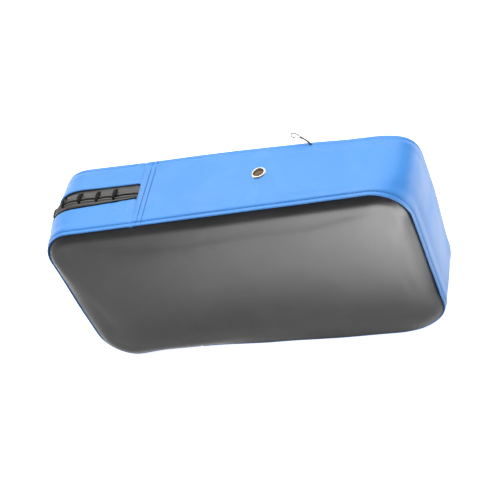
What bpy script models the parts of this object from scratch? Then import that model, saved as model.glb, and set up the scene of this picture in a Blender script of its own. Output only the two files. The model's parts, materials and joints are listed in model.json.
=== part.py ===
"""Thai pad: a held striking pad with a laced foam casing, a hand grip and two forearm straps.

The pad stands on its lower long wall at z = 0. X runs along its length, -Y is the striking face
and +Y is the side with the grip and the straps. The casing is a little deeper at its laced end,
so everything on the back is placed in the tilted frame of the back plane.
"""

import math

import bmesh
import bpy
from mathutils import Vector

# Driving dimensions, in metres
LENGTH = 0.400
WIDTH = 0.201
DEPTH = 0.093              # front rim to back panel, halfway along
TAPER = 0.045              # depth lost for each metre towards +X
CORNER = 0.038             # corner radius of the casing seen from the front
LEATHER = 0.0015
GAP = 0.0003               # clearance between touching pieces
CROWN = 0.006              # how far the striking face stands proud of its rim
RIM = 0.0012               # how far the rim of the wall stands proud of the face's edge

SEAM_X = -0.0895           # cut edge of the side wall where it overlaps the laced end
OVERLAP = 0.010
JOGGLE = 0.0018            # run over which the laced end steps under the side wall
SLOT_FRONT = 0.0375        # edges of the lacing slot, measured back from the rim
SLOT_BACK = 0.0665
SLOT_TAPER = 0.0030        # how much each slot edge closes in at the slot's two ends
SLIT = 0.0495              # line where the two facings meet
FACING_DROP = 0.0024       # outer face of the facings below the wall's outer face
FACING_TUCK = 0.006        # how far a facing reaches under its wall
LACE_RADIUS = 0.0009
LACE_PITCH = 0.0206
LACE_BARS = 17
LACE_FRONT = 0.0040        # lace holes, from the slit
LACE_BACK = 0.0100
LACE_HOLE_RADIUS = 0.0013
TONGUE_DROP = 0.0069
TONGUE_THICKNESS = 0.0010

VENT_X = 0.0456
VENT_FROM_RIM = 0.0512
VENT_RADIUS = 0.0080
VENT_BORE = 0.0052

FOAM_INSET = 0.0036
FOAM_MIDDLE_INSET = 0.0083
FOAM_FRONT_END = 0.0285
FOAM_MIDDLE_END = 0.0730
BOARD = 0.0020

CUSHION_LENGTH = 0.205
CUSHION_WIDTH = 0.108
CUSHION_HEIGHT = 0.011
CUSHION_U = -0.030

STRAP_WIDTH = 0.045
STRAP = 0.0022             # thickness of the strap leather
ARCH_HALF = 0.072          # half the span of a closed strap
ARCH_HEIGHT = 0.064
TAB_END = 0.094            # outer end of the anchored strap ends
TAPE = 0.0010
LOWER_END = 0.008          # top end of a strap's lower half
FLAP_END = -0.052          # bottom end of the flap
HINGE_CLEAR = 0.0042       # leather left out each side of the fold, so that it can turn
PATCH = 0.0014
PATCH_INNER = 0.0815
STRAP_U = {"wrist_strap": 0.035, "elbow_strap": -0.085}

HANDLE_U = 0.130
HANDLE_HALF = 0.060
HANDLE_LEG = 0.003          # straight foot at each end of the grip's arch
HANDLE_RISE = 0.038
HANDLE_CORE_RADIUS = 0.0100
HANDLE_GRIP_RADIUS = 0.0136
HANDLE_TAB = 0.0025
HANDLE_TAB_SIZE = (0.046, 0.030)

RIVET_HEAD_RADIUS = 0.0045
RIVET_HEAD_HEIGHT = 0.0013
RIVET_SHANK_RADIUS = 0.0019
RIVET_HOLE_RADIUS = 0.0023

# Derived dimensions
ARC_STEPS = 8
FRONT_Y = -DEPTH / 2
HALF_WIDTH = WIDTH / 2
END_RUN = WIDTH / 2 - CORNER
ARC_RUN = math.pi / 2 * CORNER
SEAM_WAY = END_RUN + ARC_RUN + (SEAM_X + LENGTH / 2 - CORNER)
HALF_LOOP = 2 * END_RUN + 2 * ARC_RUN + LENGTH - 2 * CORNER
BACK_ANGLE = math.atan(TAPER)
TAB_MID = GAP + STRAP / 2
TAPE_OFFSET = STRAP / 2 + GAP + TAPE / 2
HOOK_OFFSET = TAPE_OFFSET + TAPE + GAP
FLAP_OFFSET = HOOK_OFFSET + TAPE / 2 + GAP + STRAP / 2
BOARD_TOP = -LEATHER - GAP
FOAM_BACK_END = BOARD_TOP - BOARD - GAP
SHANK_END = BOARD_TOP - BOARD


def clear_scene():
    """Remove every object that the file opened with."""
    for item in list(bpy.data.objects):
        bpy.data.objects.remove(item, do_unlink=True)


def new_collection(name):
    """Return a new collection linked to the scene."""
    collection = bpy.data.collections.new(name)
    bpy.context.scene.collection.children.link(collection)
    return collection


def material(name, colour, roughness, metallic=0.0):
    """Return a material with one Principled BSDF."""
    made = bpy.data.materials.new(name)
    made.use_nodes = True
    shader = made.node_tree.nodes["Principled BSDF"]
    shader.inputs["Base Color"].default_value = (*colour, 1.0)
    shader.inputs["Roughness"].default_value = roughness
    shader.inputs["Metallic"].default_value = metallic
    return made


def depth_at(x):
    """Distance from the front rim to the back plane at a place along the pad."""
    return DEPTH - TAPER * x


def add_object(name, mesh, finish, parent=None):
    """Link a named object with one material to the pad's collection."""
    item = bpy.data.objects.new(name, mesh)
    mesh.materials.append(finish)
    PAD.objects.link(item)
    item.parent = parent
    return item


# ---------------------------------------------------------------- outline of the casing

def outline_point(way, inset):
    """Point on the casing's outline and its outward direction.

    way is measured along the outline from the middle of the laced end, over the top if positive
    and along the bottom if negative. inset moves the point inwards.
    """
    side = 1.0 if way >= 0 else -1.0
    run = abs(way)
    if run > HALF_LOOP / 2:
        x, z, normal = quarter_outline(HALF_LOOP - run)
        x, normal = -x, (-normal[0], normal[1])
    else:
        x, z, normal = quarter_outline(run)
    x -= inset * normal[0]
    z -= inset * normal[1]
    return Vector((x, 0, HALF_WIDTH + side * z)), Vector((normal[0], 0, side * normal[1]))


def quarter_outline(run):
    """Point and direction on the upper left quarter, from mid-end to mid-length."""
    if run <= END_RUN:
        return -LENGTH / 2, run, (-1.0, 0.0)
    if run <= END_RUN + ARC_RUN:
        angle = (run - END_RUN) / CORNER
        normal = (-math.cos(angle), math.sin(angle))
        x = -LENGTH / 2 + CORNER + CORNER * normal[0]
        return x, END_RUN + CORNER * normal[1], normal
    return -LENGTH / 2 + CORNER + run - END_RUN - ARC_RUN, WIDTH / 2, (0.0, 1.0)


def band_ways(start, end, extra=()):
    """Stations along the outline: its ends, every step of each corner, and any extras."""
    corners = []
    for first in (END_RUN, HALF_LOOP - END_RUN - ARC_RUN):
        steps = [first + ARC_RUN * k / ARC_STEPS for k in range(ARC_STEPS + 1)]
        corners += steps + [-step for step in steps]
        corners += [2 * HALF_LOOP - step for step in steps]
    inside = [way for way in corners + list(extra) if start < way < end]
    return sorted(set([start, end] + inside))


def wrap_point(way, inset):
    """outline_point for a way that may run on past the middle of the far end."""
    if way > HALF_LOOP:
        way -= 2 * HALF_LOOP
    return outline_point(way, inset)


def band(name, ways, inset, low, high, thickness, finish):
    """Leather strip that follows the outline inside ways.

    low and high give its two edges as distances behind the front rim. The strip thickens inwards.
    """
    mesh = bpy.data.meshes.new(name)
    rows = bmesh.new()
    pairs = []
    for way in ways:
        point, _ = wrap_point(way, inset(way))
        front = Vector((point.x, FRONT_Y + low(way, point.x), point.z))
        back = Vector((point.x, FRONT_Y + high(way, point.x), point.z))
        pairs.append((rows.verts.new(front), rows.verts.new(back)))
    for (front_a, back_a), (front_b, back_b) in zip(pairs, pairs[1:]):
        rows.faces.new((front_a, front_b, back_b, back_a))
    rows.to_mesh(mesh)
    rows.free()
    item = add_object(name, mesh, finish)
    shell = item.modifiers.new("thickness", "SOLIDIFY")
    shell.thickness = thickness
    shell.offset = -1.0
    shell.use_even_offset = True
    return item


# ---------------------------------------------------------------- rounded slabs and plates

def edge_stations(straight, radius, steps, straight_steps):
    """Stations of one side of a rounded rectangle from corner middle to corner middle.

    Each station is (distance along the side's middle line, drop towards the centre).
    """
    half = steps // 2
    start = []
    for k in range(half):
        angle = math.pi / 4 + math.pi / 4 * k / half
        start.append((-straight / 2 - radius * math.cos(angle), radius * (1 - math.sin(angle))))
    middle = [(-straight / 2 + straight * k / straight_steps, 0.0) for k in range(straight_steps + 1)]
    return start + middle + [(-along, drop) for along, drop in reversed(start)]


def slab(name, length, width, radius, front, back, finish, parent=None, straight_steps=(4, 3)):
    """Closed rounded rectangle whose two faces are functions of place.

    It is a grid that is extruded once. Its rows are spread between the four rounded edges.
    """
    long_side = edge_stations(length - 2 * radius, radius, ARC_STEPS, straight_steps[0])
    short_side = edge_stations(width - 2 * radius, radius, ARC_STEPS, straight_steps[1])
    columns, rows = len(long_side) - 1, len(short_side) - 1
    solid = bmesh.new()
    bmesh.ops.create_grid(solid, x_segments=columns, y_segments=rows, size=1.0)
    front_side = {vert: (vert.co.x, vert.co.y) for vert in solid.verts}
    made = bmesh.ops.extrude_face_region(solid, geom=solid.faces[:], use_keep_orig=True)
    back_side = {}
    for vert in made["geom"]:
        if isinstance(vert, bmesh.types.BMVert):
            back_side[vert] = (vert.co.x, vert.co.y)

    def place(u, v):
        i = round((u + 1) / 2 * columns)
        j = round((v + 1) / 2 * rows)
        u, v = i / columns, j / rows
        x_top, drop_top = long_side[i]
        z_side, drop_side = short_side[j]
        top = Vector((x_top, width / 2 - drop_top))
        bottom = Vector((x_top, -width / 2 + drop_top))
        left = Vector((-length / 2 + drop_side, z_side))
        right = Vector((length / 2 - drop_side, z_side))
        corner_x = long_side[0][0]
        corner_z = short_side[0][0]
        flat = Vector((corner_x * (1 - 2 * u), corner_z * (1 - 2 * v)))
        return bottom * (1 - v) + top * v + left * (1 - u) + right * u - flat

    for side, depth in ((front_side, front), (back_side, back)):
        for vert, (u, v) in side.items():
            spot = place(u, v)
            vert.co = (spot.x, depth(spot.x, spot.y), spot.y)
    bmesh.ops.recalc_face_normals(solid, faces=solid.faces[:])
    mesh = bpy.data.meshes.new(name)
    solid.to_mesh(mesh)
    solid.free()
    return add_object(name, mesh, finish, parent)


def rounded_outline(length, width, radius, steps=ARC_STEPS):
    """Corner points of a flat rounded rectangle, counter-clockwise."""
    points = []
    centres = ((1, 1, 0), (-1, 1, 90), (-1, -1, 180), (1, -1, 270))
    for side_x, side_z, start in centres:
        for k in range(steps + 1):
            angle = math.radians(start + 90 * k / steps)
            x = side_x * (length / 2 - radius) + radius * math.cos(angle)
            z = side_z * (width / 2 - radius) + radius * math.sin(angle)
            points.append((x, z))
    return points


def flat_solid(name, points, thickness, finish, location, turn, parent=None):
    """Closed solid from a flat outline: a filled 2D curve extruded both ways, made a mesh."""
    curve = bpy.data.curves.new(name, "CURVE")
    curve.dimensions = "2D"
    curve.fill_mode = "BOTH"
    curve.extrude = thickness / 2
    spline = curve.splines.new("POLY")
    spline.points.add(len(points) - 1)
    for spot, (x, y) in zip(spline.points, points):
        spot.co = (x, y, 0.0, 1.0)
    spline.use_cyclic_u = True
    return curve_to_mesh(name, curve, finish, location, turn, parent)


def curve_to_mesh(name, curve, finish, location, turn, parent):
    """Turn a curve into a closed mesh object whose caps are welded to its sides."""
    drawn = bpy.data.objects.new(name + "_curve", curve)
    PAD.objects.link(drawn)
    bpy.context.view_layer.update()
    graph = bpy.context.evaluated_depsgraph_get()
    mesh = bpy.data.meshes.new_from_object(drawn.evaluated_get(graph))
    bpy.data.objects.remove(drawn, do_unlink=True)
    welded = bmesh.new()
    welded.from_mesh(mesh)
    bmesh.ops.remove_doubles(welded, verts=welded.verts[:], dist=0.00001)
    bmesh.ops.recalc_face_normals(welded, faces=welded.faces[:])
    welded.to_mesh(mesh)
    welded.free()
    mesh.name = name
    mesh.materials.clear()
    item = add_object(name, mesh, finish, parent)
    item.location = location
    item.rotation_euler = turn
    return item


FLAT_TURN = (math.pi / 2, 0.0, 0.0)             # outline in X and Z, thickness along Y
PROFILE_TURN = (math.pi / 2, 0.0, math.pi / 2)  # outline in Y and Z, thickness along X
OUTWARD_TURN = (-math.pi / 2, 0.0, 0.0)         # turned shape with its axis along +Y


def tube(name, points, radius, finish, parent=None, bevel_resolution=2):
    """Closed round tube through a list of points."""
    curve = bpy.data.curves.new(name, "CURVE")
    curve.dimensions = "3D"
    curve.bevel_depth = radius
    curve.bevel_resolution = bevel_resolution
    curve.use_fill_caps = True
    spline = curve.splines.new("POLY")
    spline.points.add(len(points) - 1)
    for spot, point in zip(spline.points, points):
        spot.co = (*point, 1.0)
    return curve_to_mesh(name, curve, finish, (0, 0, 0), (0, 0, 0), parent)


def turned(name, profile, closed, steps, finish, parent=None):
    """Turned solid: a profile at +X that runs down its outer side, swept about Z."""
    mesh = bpy.data.meshes.new(name)
    count = len(profile)
    edges = [(k, k + 1) for k in range(count - 1)]
    if closed:
        edges.append((count - 1, 0))
    mesh.from_pydata([(r, 0.0, z) for r, z in profile], edges, [])
    item = add_object(name, mesh, finish, parent)
    sweep = item.modifiers.new("turn", "SCREW")
    sweep.steps = steps
    sweep.render_steps = steps
    sweep.use_merge_vertices = True
    sweep.merge_threshold = 0.00005
    return item


def cutter_cylinder(name, radius, depth, collection, sides=10):
    """Cylinder along Z that only cuts."""
    mesh = bpy.data.meshes.new(name)
    round_bar = bmesh.new()
    bmesh.ops.create_cone(
        round_bar, cap_ends=True, segments=sides, radius1=radius, radius2=radius, depth=depth
    )
    round_bar.to_mesh(mesh)
    round_bar.free()
    item = bpy.data.objects.new(name, mesh)
    collection.objects.link(item)
    item.hide_render = True
    item.display_type = "WIRE"
    return item


def cut_with(item, collection):
    """Subtract every cutter of a collection."""
    cut = item.modifiers.new("holes", "BOOLEAN")
    cut.operation = "DIFFERENCE"
    cut.solver = "EXACT"
    cut.operand_type = "COLLECTION"
    cut.collection = collection


# ---------------------------------------------------------------- casing

def face_depth(x, z, edge, crown):
    """Depth of the crowned face: edge at the rim, bulging towards -Y in the middle."""
    across = min(1.0, abs(2 * x / LENGTH))
    up = min(1.0, abs(2 * z / WIDTH))
    return FRONT_Y + edge - crown * (1 - across ** 4) * (1 - up ** 4)


def make_casing_panels():
    """Striking face, back panel and the backing board inside it."""
    inset = LEATHER + GAP
    face = slab(
        "face_panel", LENGTH - 2 * inset, WIDTH - 2 * inset, CORNER - inset,
        lambda x, z: face_depth(x, z, RIM, CROWN),
        lambda x, z: face_depth(x, z, RIM + LEATHER, CROWN),
        BLACK_LEATHER,
    )
    face.location = (0, 0, HALF_WIDTH)
    flat_solid(
        "back_panel", rounded_outline(LENGTH - 2 * inset, WIDTH - 2 * inset, CORNER - inset),
        LEATHER, BLUE_LEATHER, (0, -LEATHER / 2, 0), FLAT_TURN, BACK,
    )
    edge = FOAM_INSET
    flat_solid(
        "backing_board", rounded_outline(LENGTH - 2 * edge, WIDTH - 2 * edge, CORNER - edge),
        BOARD, BOARD_GREY, (0, BOARD_TOP - BOARD / 2, 0), FLAT_TURN, BACK,
    )


def make_foam():
    """Three foam layers. The middle one is cut smaller, to leave room for the lacing."""
    inset = FOAM_INSET
    start = RIM + LEATHER + GAP
    front = slab(
        "foam_front", LENGTH - 2 * inset, WIDTH - 2 * inset, CORNER - inset,
        lambda x, z: face_depth(x, z, start, CROWN),
        lambda x, z: FRONT_Y + FOAM_FRONT_END,
        SOFT_FOAM,
    )
    front.location = (0, 0, HALF_WIDTH)
    inset = FOAM_MIDDLE_INSET
    thickness = FOAM_MIDDLE_END - FOAM_FRONT_END - GAP
    flat_solid(
        "foam_middle", rounded_outline(LENGTH - 2 * inset, WIDTH - 2 * inset, CORNER - inset),
        thickness, FIRM_FOAM, (0, FRONT_Y + FOAM_MIDDLE_END - thickness / 2, HALF_WIDTH), FLAT_TURN,
    )
    inset = FOAM_INSET
    back = slab(
        "foam_back", LENGTH - 2 * inset, WIDTH - 2 * inset, CORNER - inset,
        lambda x, z: FRONT_Y + FOAM_MIDDLE_END + GAP,
        lambda x, z: FRONT_Y + depth_at(x) + FOAM_BACK_END / math.cos(BACK_ANGLE),
        SOFT_FOAM,
    )
    back.location = (0, 0, HALF_WIDTH)


def make_side_wall():
    """Long blue strip round the far end, with the vent's hole."""
    wall = band(
        "side_wall", band_ways(SEAM_WAY, 2 * HALF_LOOP - SEAM_WAY),
        lambda way: 0.0, lambda way, x: 0.0, lambda way, x: depth_at(x), LEATHER, BLUE_LEATHER,
    )
    hole = new_collection("vent cutter")
    cutter = cutter_cylinder("vent_cutter", VENT_BORE + 0.0011, 0.02, hole, 24)
    cutter.location = (VENT_X, FRONT_Y + VENT_FROM_RIM, WIDTH)
    cut_with(wall, hole)


def make_vent():
    """Two-part eyelet with a disc of gauze in its bore."""
    barrel = VENT_BORE + 0.0008
    eyelet = turned("vent_eyelet", [
        (VENT_BORE, 0.0006), (0.0066, 0.0013), (0.0076, 0.0010), (VENT_RADIUS, GAP),
        (barrel, GAP), (barrel, -0.0040), (VENT_BORE, -0.0040),
    ], True, 24, NICKEL)
    washer = turned("vent_washer", [
        (barrel + GAP, -0.0018), (0.0085, -0.0018), (0.0085, -0.0026), (barrel + GAP, -0.0026),
    ], True, 24, NICKEL)
    screen = turned("vent_screen", [
        (0.0, -0.0018), (VENT_BORE - 0.0002, -0.0018), (VENT_BORE - 0.0002, -0.0022), (0.0, -0.0022),
    ], False, 24, DARK_GAUZE)
    for item in (eyelet, washer, screen):
        item.location = (VENT_X, FRONT_Y + VENT_FROM_RIM, WIDTH)


def joggle(way, start, end, depth):
    """Step of a strip down under the side wall, from 0 before start to depth after end."""
    share = (abs(way) - start) / (end - start)
    return depth * max(0.0, min(1.0, share))


def slot_edge(way, edge, direction):
    """Edge of the lacing slot, closing in towards the slot's two ends."""
    share = max(0.0, (abs(way) - END_RUN - ARC_RUN) / (SEAM_WAY - END_RUN - ARC_RUN))
    return edge + direction * SLOT_TAPER * share


def make_laced_end():
    """Blue strips, black facings, tongue and lace of the closure round the near end."""
    step_end = SEAM_WAY - 0.0004
    step_start = step_end - JOGGLE
    trim_start = step_start - 0.0010
    facing_start = step_start - 0.0045
    end = SEAM_WAY + OVERLAP
    steps = (trim_start, step_start, step_end)
    ways = band_ways(-end, end, steps + tuple(-step for step in steps))
    facing_ways = band_ways(-end, end, (-step_start, -facing_start, facing_start, step_start))

    def wall_inset(way):
        return joggle(way, step_start, step_end, LEATHER + GAP)

    def facing_inset(way):
        return FACING_DROP + joggle(way, facing_start, step_start, LEATHER + GAP)

    def front_edge(way, x):
        return joggle(way, trim_start, step_start, 0.0045)

    def back_edge(way, x):
        return depth_at(x) - joggle(way, trim_start, step_start, 0.0025)

    def front_slot(way, x):
        return slot_edge(way, SLOT_FRONT, 1)

    def back_slot(way, x):
        return slot_edge(way, SLOT_BACK, -1)

    band("closure_wall_front", ways, wall_inset, front_edge, front_slot, LEATHER, BLUE_LEATHER)
    band("closure_wall_back", ways, wall_inset, back_slot, back_edge, LEATHER, BLUE_LEATHER)
    holes = make_lace_cutters()
    front = band(
        "closure_facing_front", facing_ways, facing_inset,
        lambda way, x: SLOT_FRONT - FACING_TUCK, lambda way, x: SLIT - 0.0005,
        LEATHER, BLACK_LEATHER,
    )
    back = band(
        "closure_facing_back", facing_ways, facing_inset,
        lambda way, x: SLIT + 0.0005, lambda way, x: SLOT_BACK + FACING_TUCK,
        LEATHER, BLACK_LEATHER,
    )
    cut_with(front, holes)
    cut_with(back, holes)
    band(
        "closure_tongue", band_ways(-end, end), lambda way: TONGUE_DROP,
        lambda way, x: SLOT_FRONT, lambda way, x: SLOT_BACK, TONGUE_THICKNESS, BLACK_LEATHER,
    )
    make_lace()


def lace_ways():
    """Where each bar of the lace crosses the slit."""
    return [LACE_PITCH * (k - (LACE_BARS - 1) / 2) for k in range(LACE_BARS)]


def make_lace_cutters():
    """One cutter for each lace hole, square to the wall where it stands."""
    holes = new_collection("lace cutters")
    for number, way in enumerate(lace_ways()):
        for label, along in (("front", SLIT - LACE_FRONT), ("back", SLIT + LACE_BACK)):
            point, normal = outline_point(way, FACING_DROP)
            cutter = cutter_cylinder(f"lace_cutter_{number}_{label}", LACE_HOLE_RADIUS, 0.008, holes, 8)
            cutter.location = (point.x, FRONT_Y + along, point.z)
            cutter.rotation_mode = "QUATERNION"
            cutter.rotation_quaternion = normal.to_track_quat("Z", "Y")
    return holes


def make_lace():
    """Spiral lacing: a bar across the slit outside, then a slanted run behind the facings."""
    outside = FACING_DROP - GAP - LACE_RADIUS
    inside = FACING_DROP + LEATHER + 0.0007 + LACE_RADIUS
    points = []

    def add(way, along, inset):
        point, _ = outline_point(way, inset)
        points.append((point.x, FRONT_Y + along, point.z))

    ways = lace_ways()
    for number, way in enumerate(ways):
        add(way, SLIT - LACE_FRONT, inside)
        add(way, SLIT - LACE_FRONT, outside)
        add(way, SLIT + (LACE_BACK - LACE_FRONT) / 2, outside)
        add(way, SLIT + LACE_BACK, outside)
        add(way, SLIT + LACE_BACK, inside)
        if number + 1 < len(ways):
            for share in (0.25, 0.5, 0.75):
                along = SLIT + LACE_BACK - share * (LACE_BACK + LACE_FRONT)
                add(way + share * LACE_PITCH, along, inside)
    tube("closure_lace", points, LACE_RADIUS, BLACK_LACE, bevel_resolution=1)


# ---------------------------------------------------------------- back of the pad

def make_cushion():
    """Crowned pad that the forearm lies on."""
    cushion = slab(
        "forearm_cushion", CUSHION_LENGTH, CUSHION_WIDTH, 0.022,
        lambda x, z: GAP + CUSHION_HEIGHT * (0.55 + 0.45 * (1 - abs(2 * x / CUSHION_LENGTH) ** 4)
                                             * (1 - abs(2 * z / CUSHION_WIDTH) ** 4)),
        lambda x, z: GAP,
        BLACK_LEATHER, BACK,
    )
    cushion.location = (CUSHION_U, 0, 0)


def arch_point(w, offset):
    """Point (outwards, up) on a closed strap's arch, moved outwards by offset."""
    angle = math.pi * w / (2 * ARCH_HALF)
    out = TAB_MID + ARCH_HEIGHT * math.cos(angle)
    slope = -ARCH_HEIGHT * math.pi / (2 * ARCH_HALF) * math.sin(angle)
    size = math.hypot(1.0, slope)
    return out + offset / size, w - offset * slope / size


def flap_lift(w):
    """Offset of the flap from the lower half's arch: none at its fold, full where they overlap."""
    share = max(0.0, min(1.0, (ARCH_HALF - w) / (ARCH_HALF - 0.016)))
    return FLAP_OFFSET * share * share * (3 - 2 * share)


def ribbon_outline(line, thickness):
    """Closed outline of a strip of even thickness along a line of points."""
    normals = []
    for (a, b), (c, d) in zip(line, line[1:]):
        size = math.hypot(c - a, d - b)
        normals.append(((d - b) / size, -(c - a) / size))
    sides = ([], [])
    for k, (a, b) in enumerate(line):
        before = normals[max(0, k - 1)]
        after = normals[min(len(normals) - 1, k)]
        n_x, n_y = before[0] + after[0], before[1] + after[1]
        size = math.hypot(n_x, n_y)
        n_x, n_y = n_x / size, n_y / size
        reach = thickness / 2 / (n_x * after[0] + n_y * after[1])
        sides[0].append((a + n_x * reach, b + n_y * reach))
        sides[1].append((a - n_x * reach, b - n_y * reach))
    return sides[0] + sides[1][::-1]


def spread(start, end, count):
    """Evenly spaced values from start to end."""
    return [start + (end - start) * k / (count - 1) for k in range(count)]


def strap_strip(name, line, thickness, width, u, finish):
    """Strip of strap leather or tape, lying across the pad at u."""
    return flat_solid(name, ribbon_outline(line, thickness), thickness=width, finish=finish,
                      location=(u, 0, 0), turn=PROFILE_TURN, parent=BACK)


def make_strap(name, u):
    """One forearm strap: a fixed lower half, and a flap that folds open at its upper anchor."""
    arch = [arch_point(w, 0.0) for w in spread(-ARCH_HALF, LOWER_END, 12)]
    strap_strip(name + "_lower", [(TAB_MID, -TAB_END)] + arch, STRAP, STRAP_WIDTH, u, BLACK_LEATHER)
    loop = [arch_point(w, TAPE_OFFSET) for w in spread(FLAP_END + 0.002, LOWER_END - 0.003, 9)]
    strap_strip(name + "_loop_tape", loop, TAPE, STRAP_WIDTH - 0.005, u, LOOP_TAPE)
    upper = [(TAB_MID, ARCH_HALF + HINGE_CLEAR), (TAB_MID, TAB_END)]
    strap_strip(name + "_root", upper, STRAP, STRAP_WIDTH, u, BLACK_LEATHER)
    add_patch(name + "_patch_upper", u, 1)
    add_patch(name + "_patch_lower", u, -1)
    hinge = bpy.data.objects.new(name + "_hinge", None)
    PAD.objects.link(hinge)
    hinge.parent = BACK
    hinge.location = (u, TAB_MID, ARCH_HALF)
    fold = ARCH_HALF - HINGE_CLEAR * math.cos(math.atan(ARCH_HEIGHT * math.pi / (2 * ARCH_HALF)))
    flap_line = [arch_point(w, flap_lift(w)) for w in spread(fold, FLAP_END, 16)]
    flap = strap_strip(name + "_flap", flap_line, STRAP, STRAP_WIDTH, 0, BLACK_LEATHER)
    hook_line = [arch_point(w, HOOK_OFFSET) for w in spread(LOWER_END - 0.010, FLAP_END + 0.003, 9)]
    hook = strap_strip(name + "_hook_tape", hook_line, TAPE, STRAP_WIDTH - 0.005, 0, HOOK_TAPE)
    for item in (flap, hook):
        item.parent = hinge
        item.location = (0, -TAB_MID, -ARCH_HALF)


def add_patch(name, u, side):
    """Leather patch sewn over an anchored strap end, held by two rivets."""
    width = TAB_END + 0.0015 - PATCH_INNER
    middle = side * (PATCH_INNER + width / 2)
    bottom = GAP + STRAP + GAP
    points = rounded_outline(STRAP_WIDTH + 0.006, width, 0.003, 3)
    flat_solid(name, points, PATCH, BLACK_LEATHER, (u, bottom + PATCH / 2, middle), FLAT_TURN, BACK)
    for label, along in (("a", -0.014), ("b", 0.014)):
        add_rivet(f"{name}_rivet_{label}", u + along, middle, bottom + PATCH + GAP)


def add_rivet(name, u, w, seat):
    """Domed rivet whose shank reaches through to the backing board, and the cutter for its hole."""
    length = seat - SHANK_END
    rivet = turned(name, [
        (0.0, RIVET_HEAD_HEIGHT), (0.0026, 0.85 * RIVET_HEAD_HEIGHT), (0.0040, 0.45 * RIVET_HEAD_HEIGHT),
        (RIVET_HEAD_RADIUS, 0.0), (RIVET_SHANK_RADIUS, 0.0), (RIVET_SHANK_RADIUS, -length), (0.0, -length),
    ], False, 12, NICKEL, BACK)
    rivet.location = (u, seat, w)
    rivet.rotation_euler = OUTWARD_TURN
    cutter = cutter_cylinder(name + "_cutter", RIVET_HOLE_RADIUS, 0.04, RIVET_CUTTERS)
    cutter.parent = BACK
    cutter.location = (u, 0, w)
    cutter.rotation_euler = OUTWARD_TURN


def handle_line(start, end, count):
    """Points along the grip's arch, between two angles in degrees."""
    base = GAP + HANDLE_TAB + GAP + HANDLE_LEG
    points = []
    for angle in spread(math.radians(start), math.radians(end), count):
        out = base + HANDLE_RISE * math.sin(angle)
        points.append((HANDLE_U, out, HANDLE_HALF * math.cos(angle)))
    return points


def make_handle():
    """Rope-cored grip: core, leather sleeve and the two riveted tabs that it is fixed to."""
    seat = GAP + HANDLE_TAB + GAP
    feet = [(HANDLE_U, seat, side * HANDLE_HALF) for side in (1, -1)]
    tube("handle_core", feet[:1] + handle_line(0, 180, 19) + feet[1:], HANDLE_CORE_RADIUS, ROPE, BACK, 2)
    sleeve = tube("handle_grip", handle_line(35, 145, 13), HANDLE_GRIP_RADIUS, BLACK_LEATHER, BACK, 4)
    bore_collection = new_collection("handle cutter")
    bore = tube("handle_bore", handle_line(25, 155, 15), HANDLE_CORE_RADIUS + 0.0006, ROPE, BACK, 4)
    PAD.objects.unlink(bore)
    bore_collection.objects.link(bore)
    bore.hide_render = True
    bore.display_type = "WIRE"
    cut_with(sleeve, bore_collection)
    length, width = HANDLE_TAB_SIZE
    for label, side in (("upper", 1), ("lower", -1)):
        name = "handle_tab_" + label
        flat_solid(
            name, rounded_outline(length, width, 0.006, 3), HANDLE_TAB, BLACK_LEATHER,
            (HANDLE_U, GAP + HANDLE_TAB / 2, side * HANDLE_HALF), FLAT_TURN, BACK,
        )
        for mark, along in (("a", -0.0165), ("b", 0.0165)):
            add_rivet(f"{name}_rivet_{mark}", HANDLE_U + along, side * HANDLE_HALF, GAP + HANDLE_TAB + GAP)


def drill_rivet_holes():
    """Cut the rivet holes through every sheet that the rivets hold."""
    bpy.context.view_layer.update()
    sheets = ["back_panel", "backing_board", "handle_tab_upper", "handle_tab_lower"]
    for strap in STRAP_U:
        sheets += [strap + "_lower", strap + "_root", strap + "_patch_upper", strap + "_patch_lower"]
    for name in sheets:
        cut_with(bpy.data.objects[name], RIVET_CUTTERS)


def shade_round_pieces():
    """Smooth shading with sharp edges kept."""
    for item in PAD.objects:
        if item.type == "MESH" and item.data.polygons:
            item.data.shade_smooth()
            item.data.set_sharp_from_angle(angle=math.radians(40))


clear_scene()
PAD = new_collection("thai_pad")
RIVET_CUTTERS = new_collection("rivet cutters")

BLUE_LEATHER = material("blue leather", (0.07, 0.27, 0.80), 0.45)
BLACK_LEATHER = material("black leather", (0.022, 0.022, 0.024), 0.42)
BLACK_LACE = material("black lace", (0.012, 0.012, 0.013), 0.7)
SOFT_FOAM = material("soft foam", (0.80, 0.78, 0.70), 0.9)
FIRM_FOAM = material("firm foam", (0.25, 0.26, 0.28), 0.9)
BOARD_GREY = material("backing board", (0.30, 0.30, 0.30), 0.7)
NICKEL = material("nickel", (0.72, 0.70, 0.66), 0.25, 1.0)
DARK_GAUZE = material("dark gauze", (0.08, 0.07, 0.06), 0.6, 0.6)
ROPE = material("rope", (0.55, 0.50, 0.40), 0.85)
LOOP_TAPE = material("loop tape", (0.03, 0.03, 0.03), 0.95)
HOOK_TAPE = material("hook tape", (0.02, 0.02, 0.02), 0.8)

BACK = bpy.data.objects.new("back_plane", None)
PAD.objects.link(BACK)
BACK.location = (0, DEPTH / 2, HALF_WIDTH)
BACK.rotation_euler = (0, 0, -BACK_ANGLE)

make_casing_panels()
make_foam()
make_side_wall()
make_vent()
make_laced_end()
make_cushion()
for strap_name, strap_u in STRAP_U.items():
    make_strap(strap_name, strap_u)
make_handle()
drill_rivet_holes()
shade_round_pieces()
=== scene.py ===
"""Thai pad: a laced foam striking pad with forearm straps and a rope-cored grip.

X runs along the pad, -Y is the striking face and +Y is the side that the arm goes on. The pad
stands on its lower long wall. Positions come from the packed model, other sizes are in metres.
"""
import json
import math

import bmesh
import bpy
import numpy as np
from mathutils import Matrix, Vector, noise


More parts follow.
